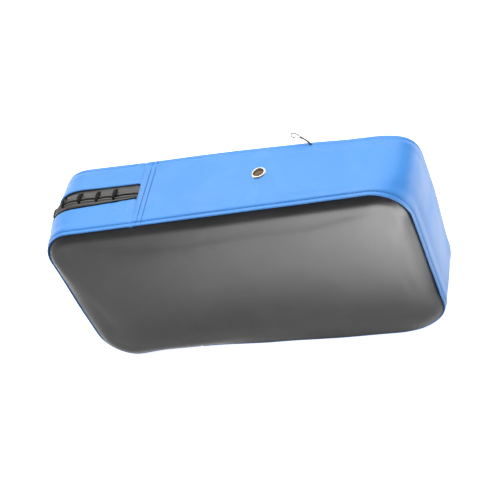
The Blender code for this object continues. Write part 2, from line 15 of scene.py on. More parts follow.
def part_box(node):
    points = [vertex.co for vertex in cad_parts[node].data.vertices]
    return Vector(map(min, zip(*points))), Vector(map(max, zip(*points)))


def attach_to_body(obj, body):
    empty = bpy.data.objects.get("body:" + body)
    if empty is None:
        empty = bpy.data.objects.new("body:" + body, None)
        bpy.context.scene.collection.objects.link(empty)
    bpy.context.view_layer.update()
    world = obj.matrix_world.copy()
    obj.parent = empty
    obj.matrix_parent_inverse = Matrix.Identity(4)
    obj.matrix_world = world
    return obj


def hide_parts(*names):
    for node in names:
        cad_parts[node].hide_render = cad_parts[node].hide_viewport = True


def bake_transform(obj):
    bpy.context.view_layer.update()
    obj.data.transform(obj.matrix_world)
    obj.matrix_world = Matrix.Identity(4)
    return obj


bl_info = {
    "name": "Thai Pad",
    "version": (1, 0, 0),
    "blender": (4, 5, 0),
    "location": "View3D > Sidebar > Thai Pad",
    "description": "Builds a laced thai pad with its straps, grip and studio",
    "category": "Add Mesh",
}

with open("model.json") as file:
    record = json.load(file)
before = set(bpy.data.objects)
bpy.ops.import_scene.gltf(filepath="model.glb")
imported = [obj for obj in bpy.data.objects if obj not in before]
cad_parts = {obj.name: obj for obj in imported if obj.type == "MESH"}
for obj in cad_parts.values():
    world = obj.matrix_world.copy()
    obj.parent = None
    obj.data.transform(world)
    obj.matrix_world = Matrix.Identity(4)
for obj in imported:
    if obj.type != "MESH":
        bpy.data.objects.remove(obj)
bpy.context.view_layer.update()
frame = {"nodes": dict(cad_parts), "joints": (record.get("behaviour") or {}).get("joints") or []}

# ---------------------------------------------------------------- places read from the frame

WALL_LOW, WALL_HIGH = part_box("side_wall")
NEAR_LOW, NEAR_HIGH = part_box("closure_wall_back")
VENT_LOW, VENT_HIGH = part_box("vent_eyelet")
HINGES = {joint["name"]: joint for joint in frame["joints"]}
HINGE_AXIS = Vector(HINGES["wrist_strap_open"]["axis"]).normalized()

LENGTH = WALL_HIGH.x - NEAR_LOW.x
WIDTH = WALL_HIGH.z - WALL_LOW.z
FRONT_Y = WALL_LOW.y
TAPER = -HINGE_AXIS.y / HINGE_AXIS.x
DEPTH = NEAR_HIGH.y - FRONT_Y - TAPER * LENGTH / 2
SEAM_X = WALL_LOW.x
ALONG = Vector((HINGE_AXIS.x, HINGE_AXIS.y, 0.0))
OUTWARD = Vector((-HINGE_AXIS.y, HINGE_AXIS.x, 0.0))
UP = Vector((0.0, 0.0, 1.0))
BACK_MIDDLE = Vector((0.0, FRONT_Y + DEPTH, WIDTH / 2))
GAP = 0.0003


def depth_at(x):
    """Distance from the front rim to the back plane at a place along the pad."""
    return DEPTH - TAPER * x


def on_back(u, v, w):
    """Place in the frame of the tilted back: along it, out from it and up it."""
    return BACK_MIDDLE + ALONG * u + OUTWARD * v + UP * w


def back_u(x):
    """Distance along the tilted back of a place x along the pad."""
    return x / ALONG.x


# ---------------------------------------------------------------- sizes and colours

def length_setting(name, description, default):
    """A size in metres."""
    return bpy.props.FloatProperty(
        name=name, description=description, default=default, min=0.0, precision=5,
        unit="LENGTH", subtype="DISTANCE",
    )


def colour_setting(name, description, default):
    """A linear colour."""
    return bpy.props.FloatVectorProperty(
        name=name, description=description, default=default, size=3, min=0.0, max=1.0,
        subtype="COLOR",
    )


class CasingSizes(bpy.types.PropertyGroup):
    """Sizes of the sewn leather casing."""

    corner: length_setting("Corner radius", "Rounding of the pad seen from the front", 0.038)
    leather: length_setting("Leather", "Thickness of the casing leather", 0.0009)
    crown: length_setting("Crown", "How far the striking face stands proud of its rim", 0.0052)
    valley: length_setting("Valley", "How deep the face is sewn in behind its rim", 0.0038)
    shoulder: length_setting("Shoulder", "Width of the rounded edge of the face", 0.024)
    rim_stitch: length_setting("Rim stitch", "Stitch line behind the rim", 0.0047)
    near_swell: length_setting("Near swell", "Bulge of the laced end", 0.0042)
    far_swell: length_setting("Far swell", "Bulge of the far end", 0.0038)
    top_swell: length_setting("Top swell", "Bulge of the upper wall", 0.0008)
    row_one: length_setting("First seam row", "First stitch row behind the cut edge", 0.0075)
    row_two: length_setting("Second seam row", "Second stitch row behind the cut edge", 0.0132)


class LacingSizes(bpy.types.PropertyGroup):
    """Sizes of the laced closure."""

    slot_front: length_setting("Slot front", "Front edge of the slot behind the rim", 0.0375)
    slot_back: length_setting("Slot back", "Back edge of the slot behind the rim", 0.0665)
    slot_taper: length_setting("Slot taper", "How far each edge closes in at the slot ends", 0.003)
    slit: length_setting("Slit", "Line where the two facings meet", 0.0495)
    facing_drop: length_setting("Facing drop", "Facings below the outer face of the wall", 0.0024)
    facing_tuck: length_setting("Facing tuck", "How far a facing reaches under its wall", 0.006)
    tongue_drop: length_setting("Tongue drop", "Tongue below the outer face of the wall", 0.0069)
    overlap: length_setting("Overlap", "How far the laced end runs under the side wall", 0.010)
    pitch: length_setting("Lace pitch", "Distance between two bars of the lace", 0.0206)
    bars: bpy.props.IntProperty(name="Lace bars", description="Bars of the lace", default=17)
    hole_front: length_setting("Front holes", "Front lace holes from the slit", 0.0028)
    hole_back: length_setting("Back holes", "Back lace holes from the slit", 0.010)
    hole: length_setting("Hole radius", "Radius of a lace hole", 0.0013)
    lace_width: length_setting("Lace width", "Width of the flat lace", 0.0042)


class StrapSizes(bpy.types.PropertyGroup):
    """Sizes of the forearm straps, their tapes and the forearm cushion."""

    width: length_setting("Strap width", "Width of a strap", 0.045)
    leather: length_setting("Strap leather", "Thickness of the strap leather", 0.0022)
    arch_half: length_setting("Arch half span", "Half the span of a closed strap", 0.072)
    arch_height: length_setting("Arch height", "Height of a closed strap", 0.064)
    tab_end: length_setting("Anchor end", "Outer end of the anchored strap ends", 0.094)
    lower_end: length_setting("Lower end", "Top end of a strap's lower half", 0.008)
    flap_end: length_setting("Flap reach", "How far the flap reaches past the middle", 0.052)
    tape: length_setting("Tape", "Thickness of the hook and loop tapes", 0.001)
    patch: length_setting("Patch", "Thickness of the anchor patches", 0.0014)
    patch_inner: length_setting("Patch inner edge", "Inner edge of the anchor patches", 0.0815)
    cushion_height: length_setting("Cushion height", "Height of the forearm cushion", 0.011)


class GripSizes(bpy.types.PropertyGroup):
    """Sizes of the hand grip and of the rivets."""

    half: length_setting("Grip half span", "Half the distance between the grip's feet", 0.060)
    leg: length_setting("Grip leg", "Straight foot at each end of the grip", 0.003)
    rise: length_setting("Grip rise", "How far the grip stands off the back", 0.038)
    core: length_setting("Core radius", "Radius of the rope core", 0.0100)
    sleeve: length_setting("Sleeve radius", "Radius of the leather sleeve", 0.0134)
    tab: length_setting("Tab thickness", "Thickness of the riveted tabs", 0.0025)
    rivet: length_setting("Rivet radius", "Radius of a rivet head", 0.0045)
    rivet_height: length_setting("Rivet height", "Height of a rivet head", 0.0013)


class PadColours(bpy.types.PropertyGroup):
    """Colours of the finishes."""

    blue: colour_setting("Blue leather", "Casing leather", (0.034, 0.262, 0.740))
    black: colour_setting("Black leather", "Face, straps and grip", (0.030, 0.030, 0.031))
    facing: colour_setting("Facing leather", "Leather beside the lacing", (0.058, 0.054, 0.051))
    lace: colour_setting("Lace", "Flat woven lace", (0.012, 0.012, 0.012))
    blue_thread: colour_setting("Blue thread", "Thread in the blue leather", (0.020, 0.085, 0.300))
    black_thread: colour_setting("Black thread", "Thread in the black leather", (0.05, 0.05, 0.05))
    soft_foam: colour_setting("Soft foam", "Outer foam layers", (0.80, 0.76, 0.62))
    firm_foam: colour_setting("Firm foam", "Middle foam layer", (0.16, 0.17, 0.19))
    board: colour_setting("Board", "Backing board", (0.22, 0.17, 0.11))
    metal: colour_setting("Metal", "Eyelet and rivets", (0.78, 0.76, 0.72))
    gauze: colour_setting("Gauze", "Woven gauze of the vent", (0.42, 0.31, 0.20))
    rope: colour_setting("Rope", "Twisted core of the grip", (0.50, 0.43, 0.30))
    tape: colour_setting("Tape", "Hook and loop tapes", (0.025, 0.025, 0.026))


class StageLook(bpy.types.PropertyGroup):
    """Floor and light of the studio."""

    floor: colour_setting("Floor", "Pale studio floor", (0.92, 0.92, 0.93))
    surround: bpy.props.FloatProperty(
        name="Surround", description="Light from all round", default=0.60, min=0.0)
    top: bpy.props.FloatProperty(
        name="Top light", description="Large soft light overhead", default=28.0, min=0.0,
        unit="POWER")
    pool: bpy.props.FloatProperty(
        name="Light pool", description="Bright pool on the floor before the face", default=9.0,
        min=0.0)
    front: bpy.props.FloatProperty(
        name="Front light", description="Large soft light at the front right", default=5.0, min=0.0,
        unit="POWER")


def casing():
    """Sizes of the casing."""
    return bpy.context.scene.pad_casing


def lacing():
    """Sizes of the lacing."""
    return bpy.context.scene.pad_lacing


def straps():
    """Sizes of the straps."""
    return bpy.context.scene.pad_straps


def grip():
    """Sizes of the grip."""
    return bpy.context.scene.pad_grip


def colours():
    """Colours of the finishes."""
    return bpy.context.scene.pad_colours


# ---------------------------------------------------------------- outlines and meshes

class RoundedRect:
    """Rounded rectangle about the origin of a flat plane (a, b).

    A way is a distance along it from the middle of its low a end, over its high b side if
    positive and along its low b side if negative.
    """

    def __init__(self, length, width, radius):
        self.length, self.width, self.radius = length, width, radius
        self.end_run = width / 2 - radius
        self.arc_run = math.pi / 2 * radius
        self.half_loop = 2 * self.end_run + 2 * self.arc_run + length - 2 * radius

    def point(self, way, inset=0.0):
        """Place and outward direction at each way: arrays a, b, direction a, direction b."""
        loop = 2 * self.half_loop
        way = (np.asarray(way, float) + self.half_loop) % loop - self.half_loop
        side = np.where(way >= 0, 1.0, -1.0)
        run = np.abs(way)
        flip = np.where(run > self.half_loop / 2, -1.0, 1.0)
        run = np.where(flip < 0, self.half_loop - run, run)
        turn = np.clip((run - self.end_run) / self.radius, 0.0, math.pi / 2)
        a = -self.length / 2 + self.radius * (1 - np.cos(turn))
        a = a + np.maximum(0.0, run - self.end_run - self.arc_run)
        b = np.minimum(run, self.end_run) + self.radius * np.sin(turn)
        out_a, out_b = -np.cos(turn) * flip, np.sin(turn) * side
        return a * flip - inset * out_a, b * side - inset * out_b, out_a, out_b

    def inside(self, a, b):
        """Distance in from the outline at each place."""
        over_a = np.abs(a) - (self.length / 2 - self.radius)
        over_b = np.abs(b) - (self.width / 2 - self.radius)
        far = np.hypot(np.maximum(over_a, 0), np.maximum(over_b, 0))
        return self.radius - far - np.minimum(np.maximum(over_a, over_b), 0)

    def patch(self, step, insets):
        """Quad mesh of the area: rings at the insets round an even grid.

        Returns arrays a and b, the faces and the border loop.
        """
        corner = self.end_run + self.arc_run / 2
        columns = max(4, round((self.half_loop - 2 * corner) / step))
        rows = max(4, round(2 * corner / step))
        span = self.half_loop - 2 * corner
        low = [-(corner + span * i / columns) for i in range(columns)]
        right = [-(self.half_loop - corner) - 2 * corner * j / rows for j in range(rows)]
        high = [corner + span * i / columns for i in range(columns, 0, -1)]
        left = [corner - 2 * corner * j / rows for j in range(rows)]
        ways = np.array(low + right + high + left)
        a, b, faces, count = [], [], [], len(ways)
        for inset in insets[:-1]:
            ring_a, ring_b, _, _ = self.point(ways, inset)
            a.extend(ring_a)
            b.extend(ring_b)
        base = len(a)
        edge_a, edge_b, _, _ = self.point(ways, insets[-1])
        edge = np.stack([edge_a, edge_b], 1)
        sides = (
            edge[:columns + 1], edge[columns:columns + rows + 1],
            edge[columns + rows:2 * columns + rows + 1][::-1],
            np.concatenate([edge[2 * columns + rows:], edge[:1]])[::-1],
        )
        for i in range(columns + 1):
            u = i / columns
            for j in range(rows + 1):
                v = j / rows
                spot = (sides[0][i] * (1 - v) + sides[2][i] * v + sides[3][j] * (1 - u)
                        + sides[1][j] * u - sides[0][0] * (1 - u) * (1 - v)
                        - sides[0][-1] * u * (1 - v) - sides[2][0] * (1 - u) * v
                        - sides[2][-1] * u * v)
                a.append(spot[0])
                b.append(spot[1])

        def at(i, j):
            return base + i * (rows + 1) + j

        for i in range(columns):
            for j in range(rows):
                faces.append((at(i, j), at(i + 1, j), at(i + 1, j + 1), at(i, j + 1)))
        rim = [at(i, 0) for i in range(columns)] + [at(columns, j) for j in range(rows)]
        rim += [at(i, rows) for i in range(columns, 0, -1)] + [at(0, j) for j in range(rows, 0, -1)]
        loops = [list(range(k * count, (k + 1) * count)) for k in range(len(insets) - 1)] + [rim]
        for outer, inner in zip(loops, loops[1:]):
            for k in range(count):
                n = (k + 1) % count
                faces.append((outer[k], outer[n], inner[n], inner[k]))
        return np.array(a), np.array(b), faces, loops[0]


def pad_outline():
    """Outline of the casing seen from the front."""
    return RoundedRect(LENGTH, WIDTH, casing().corner)


def smooth(value, low, high):
    """Smooth step from 0 at low to 1 at high."""
    share = np.clip((np.asarray(value, float) - low) / (high - low), 0.0, 1.0)
    return share * share * (3 - 2 * share)


def soft_noise(points, size, seed):
    """Smooth noise of about -1 to 1 at each point, with lumps of the given size."""
    shift = Vector((seed * 7.31, seed * 3.17, seed * 5.53))
    return np.array([noise.noise(Vector(point) / size + shift) for point in points])


def flat_noise(a, b, size, seed):
    """Smooth noise over a flat area."""
    return soft_noise(np.stack([a, b, np.zeros_like(a)], 1), size, seed)


def hump(value, middle, reach):
    """Bell that is 1 at the middle and fades within about its reach to both sides."""
    return np.exp(-((value - middle) / reach) ** 2)


def upright(x, z):
    """Vectors square to the y axis."""
    return np.stack([x, np.zeros_like(x), z], 1)


def new_mesh(name, points, faces):
    """Mesh from an array of points and a list of faces."""
    mesh = bpy.data.meshes.new(name)
    mesh.from_pydata([tuple(map(float, point)) for point in points], [], faces)
    mesh.update()
    return mesh


def place(name, mesh, finish):
    """Object at the origin with one finish and smooth shading."""
    item = bpy.data.objects.new(name, mesh)
    mesh.materials.clear()
    mesh.materials.append(finish)
    mesh.shade_smooth()
    bpy.context.scene.collection.objects.link(item)
    return item


def attach(item, nodes=(), body="root"):
    """Let a piece ride on its body and stand for its nodes."""
    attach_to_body(item, body)
    if nodes:
        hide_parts(*nodes)
    return item


def thicken(item, thickness):
    """Give an open sheet its thickness on the side away from its normals."""
    shell = item.modifiers.new("thickness", "SOLIDIFY")
    shell.thickness = thickness
    shell.offset = -1.0
    shell.use_even_offset = False
    return item


def apply_modifiers(item):
    """Replace the mesh by its result, so that no modifier is left."""
    bpy.context.view_layer.update()
    graph = bpy.context.evaluated_depsgraph_get()
    mesh = bpy.data.meshes.new_from_object(item.evaluated_get(graph))
    item.modifiers.clear()
    item.data = mesh
    mesh.shade_smooth()
    return item


def grid(points, wrap=False):
    """Points and faces of a sheet from an array of rows of points."""
    rows, columns = points.shape[:2]
    last = columns if wrap else columns - 1
    faces = []
    for i in range(rows - 1):
        for j in range(last):
            k = (j + 1) % columns
            faces.append((i * columns + j, (i + 1) * columns + j,
                          (i + 1) * columns + k, i * columns + k))
    return points.reshape(-1, 3), faces


def capped(points):
    """Points and faces of a closed bar from an array of closed sections."""
    flat, faces = grid(points, wrap=True)
    rows, columns = points.shape[:2]
    faces.append(tuple(range(columns)))
    faces.append(tuple(range((rows - 1) * columns, rows * columns))[::-1])
    return flat, faces


def lathe(profile, steps, axis=UP, at=Vector((0, 0, 0))):
    """Points and faces of a turned solid. Its closed profile is (radius, height) points."""
    side = axis.orthogonal().normalized()
    other = axis.cross(side)
    points = np.zeros((steps, len(profile), 3))
    for i in range(steps):
        angle = 2 * math.pi * i / steps
        ray = side * math.cos(angle) + other * math.sin(angle)
        for j, (radius, height) in enumerate(profile):
            points[i, j] = at + ray * radius + axis * height
    return grid(np.concatenate([points, points[:1]]), wrap=True)


def gather(points, faces, part):
    """Add the points and faces of one part to the lists of a whole."""
    flat, sides = part
    faces += [tuple(k + len(points) for k in face) for face in sides]
    points.extend(flat)


FINE_WELD = 0.000001


def weld(mesh, distance=0.00001):
    """Merge doubled points and turn all faces outwards."""
    sewn = bmesh.new()
    sewn.from_mesh(mesh)
    bmesh.ops.remove_doubles(sewn, verts=sewn.verts[:], dist=distance)
    bmesh.ops.dissolve_degenerate(sewn, edges=sewn.edges[:], dist=distance / 10)
    bmesh.ops.recalc_face_normals(sewn, faces=sewn.faces[:])
    sewn.to_mesh(mesh)
    sewn.free()
    return mesh


def directions(line):
    """Unit directions along a line of points."""
    line = np.asarray(line, float)
    run = np.gradient(line, axis=0)
    return run / np.linalg.norm(run, axis=1)[:, None]


def bar(line, outs, half_width, half_height, corners=12, power=0.35):
    """Points of a bar with a rounded section along a line.

    outs are the directions that its height points in. Half sizes may be lists along the line.
    """
    line, outs = np.asarray(line, float), np.asarray(outs, float)
    along = directions(line)
    across = np.cross(outs, along)
    across /= np.maximum(np.linalg.norm(across, axis=1), 1e-9)[:, None]
    outs = np.cross(along, across)
    wide = np.broadcast_to(half_width, len(line))
    high = np.broadcast_to(half_height, len(line))
    angle = 2 * math.pi * (np.arange(corners) + 0.5) / corners
    c = np.sign(np.cos(angle)) * np.abs(np.cos(angle)) ** power
    s = np.sign(np.sin(angle)) * np.abs(np.sin(angle)) ** power
    points = line[:, None] + across[:, None] * (c[None, :, None] * wide[:, None, None])
    return points + outs[:, None] * (s[None, :, None] * high[:, None, None])


def run_of(line):
    """Distance of each point from the start of its line."""
    return np.concatenate([[0.0], np.cumsum(np.linalg.norm(np.diff(line, axis=0), axis=1))])


def pick(want, run, line):
    """Values of a line, whose points lie at the distances in run, at the wanted distances."""
    return np.stack([np.interp(want, run, line[:, k]) for k in range(line.shape[1])], 1)


def even_line(line, step):
    """The same line with its points evenly spaced, about step apart."""
    line = np.asarray(line, float)
    run = run_of(line)
    count = max(2, round(run[-1] / step) + 1)
    return pick(np.linspace(0.0, run[-1], count), run, line)


def soften(line, rounds):
    """Round a line's corners in place, in a number of rounds."""
    for _ in range(rounds):
        line[1:-1] = 0.25 * line[:-2] + 0.5 * line[1:-1] + 0.25 * line[2:]
    return line


def stitches(name, line, outs, finish, pitch=0.0042, length=0.0032, radius=0.00042, rise=0.4):
    """Row of raised stitches along a line. Each stitch is a bead with tapered ends."""
    line, outs = np.asarray(line, float), np.asarray(outs, float)
    run = run_of(line)
    count = max(1, int(run[-1] / pitch))
    middles = (np.arange(count) + 0.5) * run[-1] / count
    share = np.array([-0.5, -0.42, -0.2, 0.2, 0.42, 0.5])
    size = np.array([0.35, 0.75, 1.0, 1.0, 0.75, 0.35])
    lift = np.array([-0.9, -0.1, rise, rise, -0.1, -0.9])
    points, faces = [], []
    for middle in middles:
        spots = middle + share * length
        place_on = pick(spots, run, line)
        out = pick(spots, run, outs)
        out /= np.linalg.norm(out, axis=1)[:, None]
        place_on += out * (lift * radius)[:, None]
        half = size * radius
        section = bar(place_on, out, half, half * 0.85, corners=6, power=1.0)
        gather(points, faces, capped(section))
    return place(name, new_mesh(name, points, faces), finish)


# ---------------------------------------------------------------- finishes

def add_node(tree, kind, settings=None, **inputs):
    """Node with its settings and inputs. An input is a value or another node's socket."""
    node = tree.nodes.new(kind)
    for key, value in (settings or {}).items():
        setattr(node, key, value)
    for key, value in inputs.items():
        index = int(key[1:]) if key[0] == "i" and key[1:].isdigit() else key.replace("_", " ")
        socket = node.inputs[index]
        if isinstance(value, bpy.types.NodeSocket):
            tree.links.new(value, socket)
        else:
            socket.default_value = value
    return node


def sums(tree, operation, first, second, third=0.0):
    """Output of a math node."""
    node = add_node(tree, "ShaderNodeMath", {"operation": operation}, i0=first, i1=second)
    if operation in ("MULTIPLY_ADD", "SMOOTH_MIN"):
        if isinstance(third, bpy.types.NodeSocket):
            tree.links.new(third, node.inputs[2])
        else:
            node.inputs[2].default_value = third
    return node.outputs[0]


def between(tree, value, low, high, to_low=0.0, to_high=1.0):
    """Value mapped smoothly from one range to another."""
    node = add_node(tree, "ShaderNodeMapRange", {"interpolation_type": "SMOOTHSTEP"},
                    i0=value, i1=low, i2=high, i3=to_low, i4=to_high)
    return node.outputs[0]


def tint(tree, factor, first, second, blend="MIX"):
    """Mix of two colours."""
    node = add_node(tree, "ShaderNodeMix", {"data_type": "RGBA", "blend_type": blend},
                    i0=factor, i6=first, i7=second)
    return node.outputs[2]


def new_group(name, inputs, outputs):
    """Empty shader group with float inputs and outputs, and the nodes that carry them."""
    group = bpy.data.node_groups.new(name, "ShaderNodeTree")
    for label, default in inputs.items():
        socket = group.interface.new_socket(label, in_out="INPUT", socket_type="NodeSocketFloat")
        socket.default_value = default
    for label in outputs:
        group.interface.new_socket(label, in_out="OUTPUT", socket_type="NodeSocketFloat")
    source = group.nodes.new("NodeGroupInput")
    result = group.nodes.new("NodeGroupOutput")
    return group, source.outputs, result.inputs


def link_out(group, result, **values):
    """Connect values to a group's outputs."""
    for label, socket in values.items():
        group.links.new(socket, result[label])


def grain_group():
    """Leather grain: pebbles, fine creases and slow changes of tone, all in metres."""
    group, source, result = new_group(
        "leather_grain", {"Pebble": 850.0, "Crease": 150.0, "Crease Share": 0.5},
        ("Height", "Tone", "Fine"))
    coords = add_node(group, "ShaderNodeTexCoord").outputs["Object"]
    warp = add_node(group, "ShaderNodeTexNoise", Vector=coords, Scale=420.0, Detail=2.0)
    bent = add_node(group, "ShaderNodeVectorMath", {"operation": "MULTIPLY_ADD"},
                    i0=warp.outputs["Color"], i1=(0.0006, 0.0006, 0.0006), i2=coords)
    cells = add_node(group, "ShaderNodeTexVoronoi", {"feature": "SMOOTH_F1"},
                     Vector=bent.outputs[0], Scale=source["Pebble"], Smoothness=0.35)
    domes = between(group, cells.outputs["Distance"], 0.05, 0.75, 1.0, 0.0)
    creases = add_node(group, "ShaderNodeTexNoise", {"noise_type": "RIDGED_MULTIFRACTAL"},
                       Vector=coords, Scale=source["Crease"], Detail=3.0)
    folds = between(group, creases.outputs["Fac"], 0.9, 2.2)
    folds = sums(group, "MULTIPLY", folds, source["Crease Share"])
    height = sums(group, "SUBTRACT", domes, folds)
    slow = add_node(group, "ShaderNodeTexNoise", Vector=coords, Scale=14.0, Detail=4.0,
                    Roughness=0.6)
    fine = add_node(group, "ShaderNodeTexNoise", Vector=coords, Scale=1300.0, Detail=2.0)
    link_out(group, result, Height=height, Tone=between(group, slow.outputs["Fac"], 0.3, 0.7),
             Fine=fine.outputs["Fac"])
    return group


def wear_group():
    """Rubbed edges: where the surface turns outwards, broken up by noise."""
    group, source, result = new_group("rubbed_edges", {"Low": 0.52, "High": 0.62}, ("Mask",))
    bend = add_node(group, "ShaderNodeNewGeometry").outputs["Pointiness"]
    coords = add_node(group, "ShaderNodeTexCoord").outputs["Object"]
    patchy = add_node(group, "ShaderNodeTexNoise", Vector=coords, Scale=160.0, Detail=4.0)
    edge = between(group, bend, source["Low"], source["High"])
    broken = between(group, patchy.outputs["Fac"], 0.35, 0.65, 0.25, 1.0)
    link_out(group, result, Mask=sums(group, "MULTIPLY", edge, broken))
    return group


def marks_group():
    """Handling marks: faint large smudges and a few finer scuffs."""
    group, source, result = new_group("handling_marks", {"Smudge": 18.0, "Scuff": 120.0},
                                      ("Mask", "Scuffs"))
    coords = add_node(group, "ShaderNodeTexCoord").outputs["Object"]
    large = add_node(group, "ShaderNodeTexNoise", Vector=coords, Scale=source["Smudge"],
                     Detail=5.0, Roughness=0.62, Distortion=0.6)
    stretched = add_node(group, "ShaderNodeMapping", Vector=coords, Scale=(1.0, 1.0, 3.5))
    small = add_node(group, "ShaderNodeTexNoise", Vector=stretched.outputs[0],
                     Scale=source["Scuff"], Detail=3.0, Distortion=1.0)
    link_out(group, result, Mask=between(group, large.outputs["Fac"], 0.42, 0.72),
             Scuffs=between(group, small.outputs["Fac"], 0.6, 0.75))
    return group


def weave_group():
    """Plain weave or twist: two crossing waves with a fuzzy surface."""
    group, source, result = new_group("weave", {"Threads": 1200.0, "Fuzz": 2500.0},
                                      ("Height", "Tone"))
    coords = add_node(group, "ShaderNodeTexCoord").outputs["Object"]
    warp = add_node(group, "ShaderNodeTexWave", {"bands_direction": "DIAGONAL"}, Vector=coords,
                    Scale=source["Threads"], Distortion=0.4, Detail=1.0)
    turned = add_node(group, "ShaderNodeMapping", Vector=coords, Rotation=(1.2, 0.9, 1.57))
    weft = add_node(group, "ShaderNodeTexWave", {"bands_direction": "DIAGONAL"},
                    Vector=turned.outputs[0], Scale=source["Threads"], Distortion=0.4, Detail=1.0)
    fuzz = add_node(group, "ShaderNodeTexNoise", Vector=coords, Scale=source["Fuzz"], Detail=2.0)
    crossed = sums(group, "MAXIMUM", warp.outputs["Fac"], weft.outputs["Fac"])
    height = sums(group, "MULTIPLY_ADD", fuzz.outputs["Fac"], 0.5, crossed)
    tone = sums(group, "MULTIPLY", crossed, fuzz.outputs["Fac"])
    link_out(group, result, Height=height, Tone=tone)
    return group


GROUPS = {}
FINISHES = {}


def use_group(tree, name, **inputs):
    """Place a shared group in a material with its own values."""
    node = tree.nodes.new("ShaderNodeGroup")
    node.node_tree = GROUPS[name]
    for label, value in inputs.items():
        node.inputs[label.replace("_", " ")].default_value = value
    return node.outputs


def scaled(colour, factor):
    """A colour made darker or lighter, with alpha."""
    return (*[min(1.0, part * factor) for part in colour], 1.0)


def towards(colour, other, share):
    """A colour moved towards another, with alpha."""
    return (*[a + (b - a) * share for a, b in zip(colour, other)], 1.0)


def start_finish(name, **values):
    """New material, its tree and its shader, with values set on the shader's own sockets."""
    made = bpy.data.materials.new(name)
    made.use_nodes = True
    shader = made.node_tree.nodes["Principled BSDF"]
    for label, value in values.items():
        shader.inputs[label.replace("_", " ")].default_value = value
    FINISHES[name] = made
    return made.node_tree, shader.inputs


def bump(tree, shader, height, distance, strength=1.0):
    """Drive the shader's normal by a height in metres."""
    node = add_node(tree, "ShaderNodeBump", Strength=strength, Distance=distance, Height=height)
    tree.links.new(node.outputs["Normal"], shader["Normal"])


def leather(name, colour, roughness, depth, worn, pebble=850.0, crease=0.5, spread=0.10):
    """Finished leather with grain, slow tone, rubbed edges and handling marks."""
    tree, shader = start_finish(name)
    grain = use_group(tree, "leather_grain", Pebble=pebble, Crease_Share=crease)
    marks = use_group(tree, "handling_marks")
    edges = use_group(tree, "rubbed_edges")
    base = tint(tree, grain["Tone"], scaled(colour, 1 - spread), scaled(colour, 1 + spread))
    base = tint(tree, sums(tree, "MULTIPLY", grain["Fine"], 0.18), base, scaled(colour, 0.7))
    base = tint(tree, sums(tree, "MULTIPLY", edges["Mask"], 0.5), base, worn)
    base = tint(tree, sums(tree, "MULTIPLY", marks["Mask"], 0.10), base, worn)
    tree.links.new(base, shader["Base Color"])
    rough = sums(tree, "MULTIPLY_ADD", grain["Tone"], 0.07, roughness - 0.05)
    rough = sums(tree, "MULTIPLY_ADD", marks["Scuffs"], 0.10, rough)
    rough = sums(tree, "MULTIPLY_ADD", grain["Height"], -0.05, rough)
    tree.links.new(rough, shader["Roughness"])
    bump(tree, shader, grain["Height"], depth)
    return FINISHES[name]


def thread(name, colour):
    """Twisted sewing thread."""
    tree, shader = start_finish(name, Sheen_Weight=0.3)
    twist = use_group(tree, "weave", Threads=1500.0, Fuzz=4000.0)
    tree.links.new(tint(tree, twist["Tone"], scaled(colour, 0.6), scaled(colour, 1.4)),
                   shader["Base Color"])
    tree.links.new(sums(tree, "MULTIPLY_ADD", twist["Tone"], 0.2, 0.5), shader["Roughness"])
    bump(tree, shader, twist["Height"], 0.0001)
    return FINISHES[name]


def woven(name, colour, threads, depth, sheen=0.4, light=1.7, shine=0.5):
    """Woven or fuzzy fabric such as lace, tape or rope."""
    tree, shader = start_finish(name, Specular_IOR_Level=shine, Sheen_Weight=sheen,
                                Sheen_Roughness=0.4)
    weave = use_group(tree, "weave", Threads=threads, Fuzz=threads * 2.2)
    marks = use_group(tree, "handling_marks", Smudge=60.0)
    base = tint(tree, weave["Tone"], scaled(colour, 0.45), scaled(colour, light))
    base = tint(tree, sums(tree, "MULTIPLY", marks["Mask"], 0.2), base, scaled(colour, 0.8))
    tree.links.new(base, shader["Base Color"])
    tree.links.new(sums(tree, "MULTIPLY_ADD", weave["Tone"], 0.25, 0.65), shader["Roughness"])
    bump(tree, shader, weave["Height"], depth)
    return FINISHES[name]


def foam(name, colour, cell):
    """Cut foam with open cells."""
    tree, shader = start_finish(name, Sheen_Weight=0.2)
    coords = add_node(tree, "ShaderNodeTexCoord").outputs["Object"]
    cells = add_node(tree, "ShaderNodeTexVoronoi", Vector=coords, Scale=1 / cell)
    pores = between(tree, cells.outputs["Distance"], 0.1, 0.6)
    marks = use_group(tree, "handling_marks", Smudge=30.0)
    base = tint(tree, pores, scaled(colour, 0.55), scaled(colour, 1.0))
    base = tint(tree, sums(tree, "MULTIPLY", marks["Mask"], 0.3), base, scaled(colour, 0.8))
    tree.links.new(base, shader["Base Color"])
    tree.links.new(sums(tree, "MULTIPLY_ADD", pores, 0.1, 0.85), shader["Roughness"])
    bump(tree, shader, pores, cell * 0.4)
    return FINISHES[name]


def fibre_board(name, colour):
    """Pressed fibre board with flecks."""
    tree, shader = start_finish(name)
    coords = add_node(tree, "ShaderNodeTexCoord").outputs["Object"]
    flecks = add_node(tree, "ShaderNodeTexNoise", Vector=coords, Scale=400.0, Detail=6.0,
                      Roughness=0.7)
    fleck = between(tree, flecks.outputs["Fac"], 0.35, 0.65)
    tree.links.new(tint(tree, fleck, scaled(colour, 0.6), scaled(colour, 1.3)),
                   shader["Base Color"])
    tree.links.new(sums(tree, "MULTIPLY_ADD", fleck, -0.15, 0.85), shader["Roughness"])
    bump(tree, shader, fleck, 0.0002)
    return FINISHES[name]


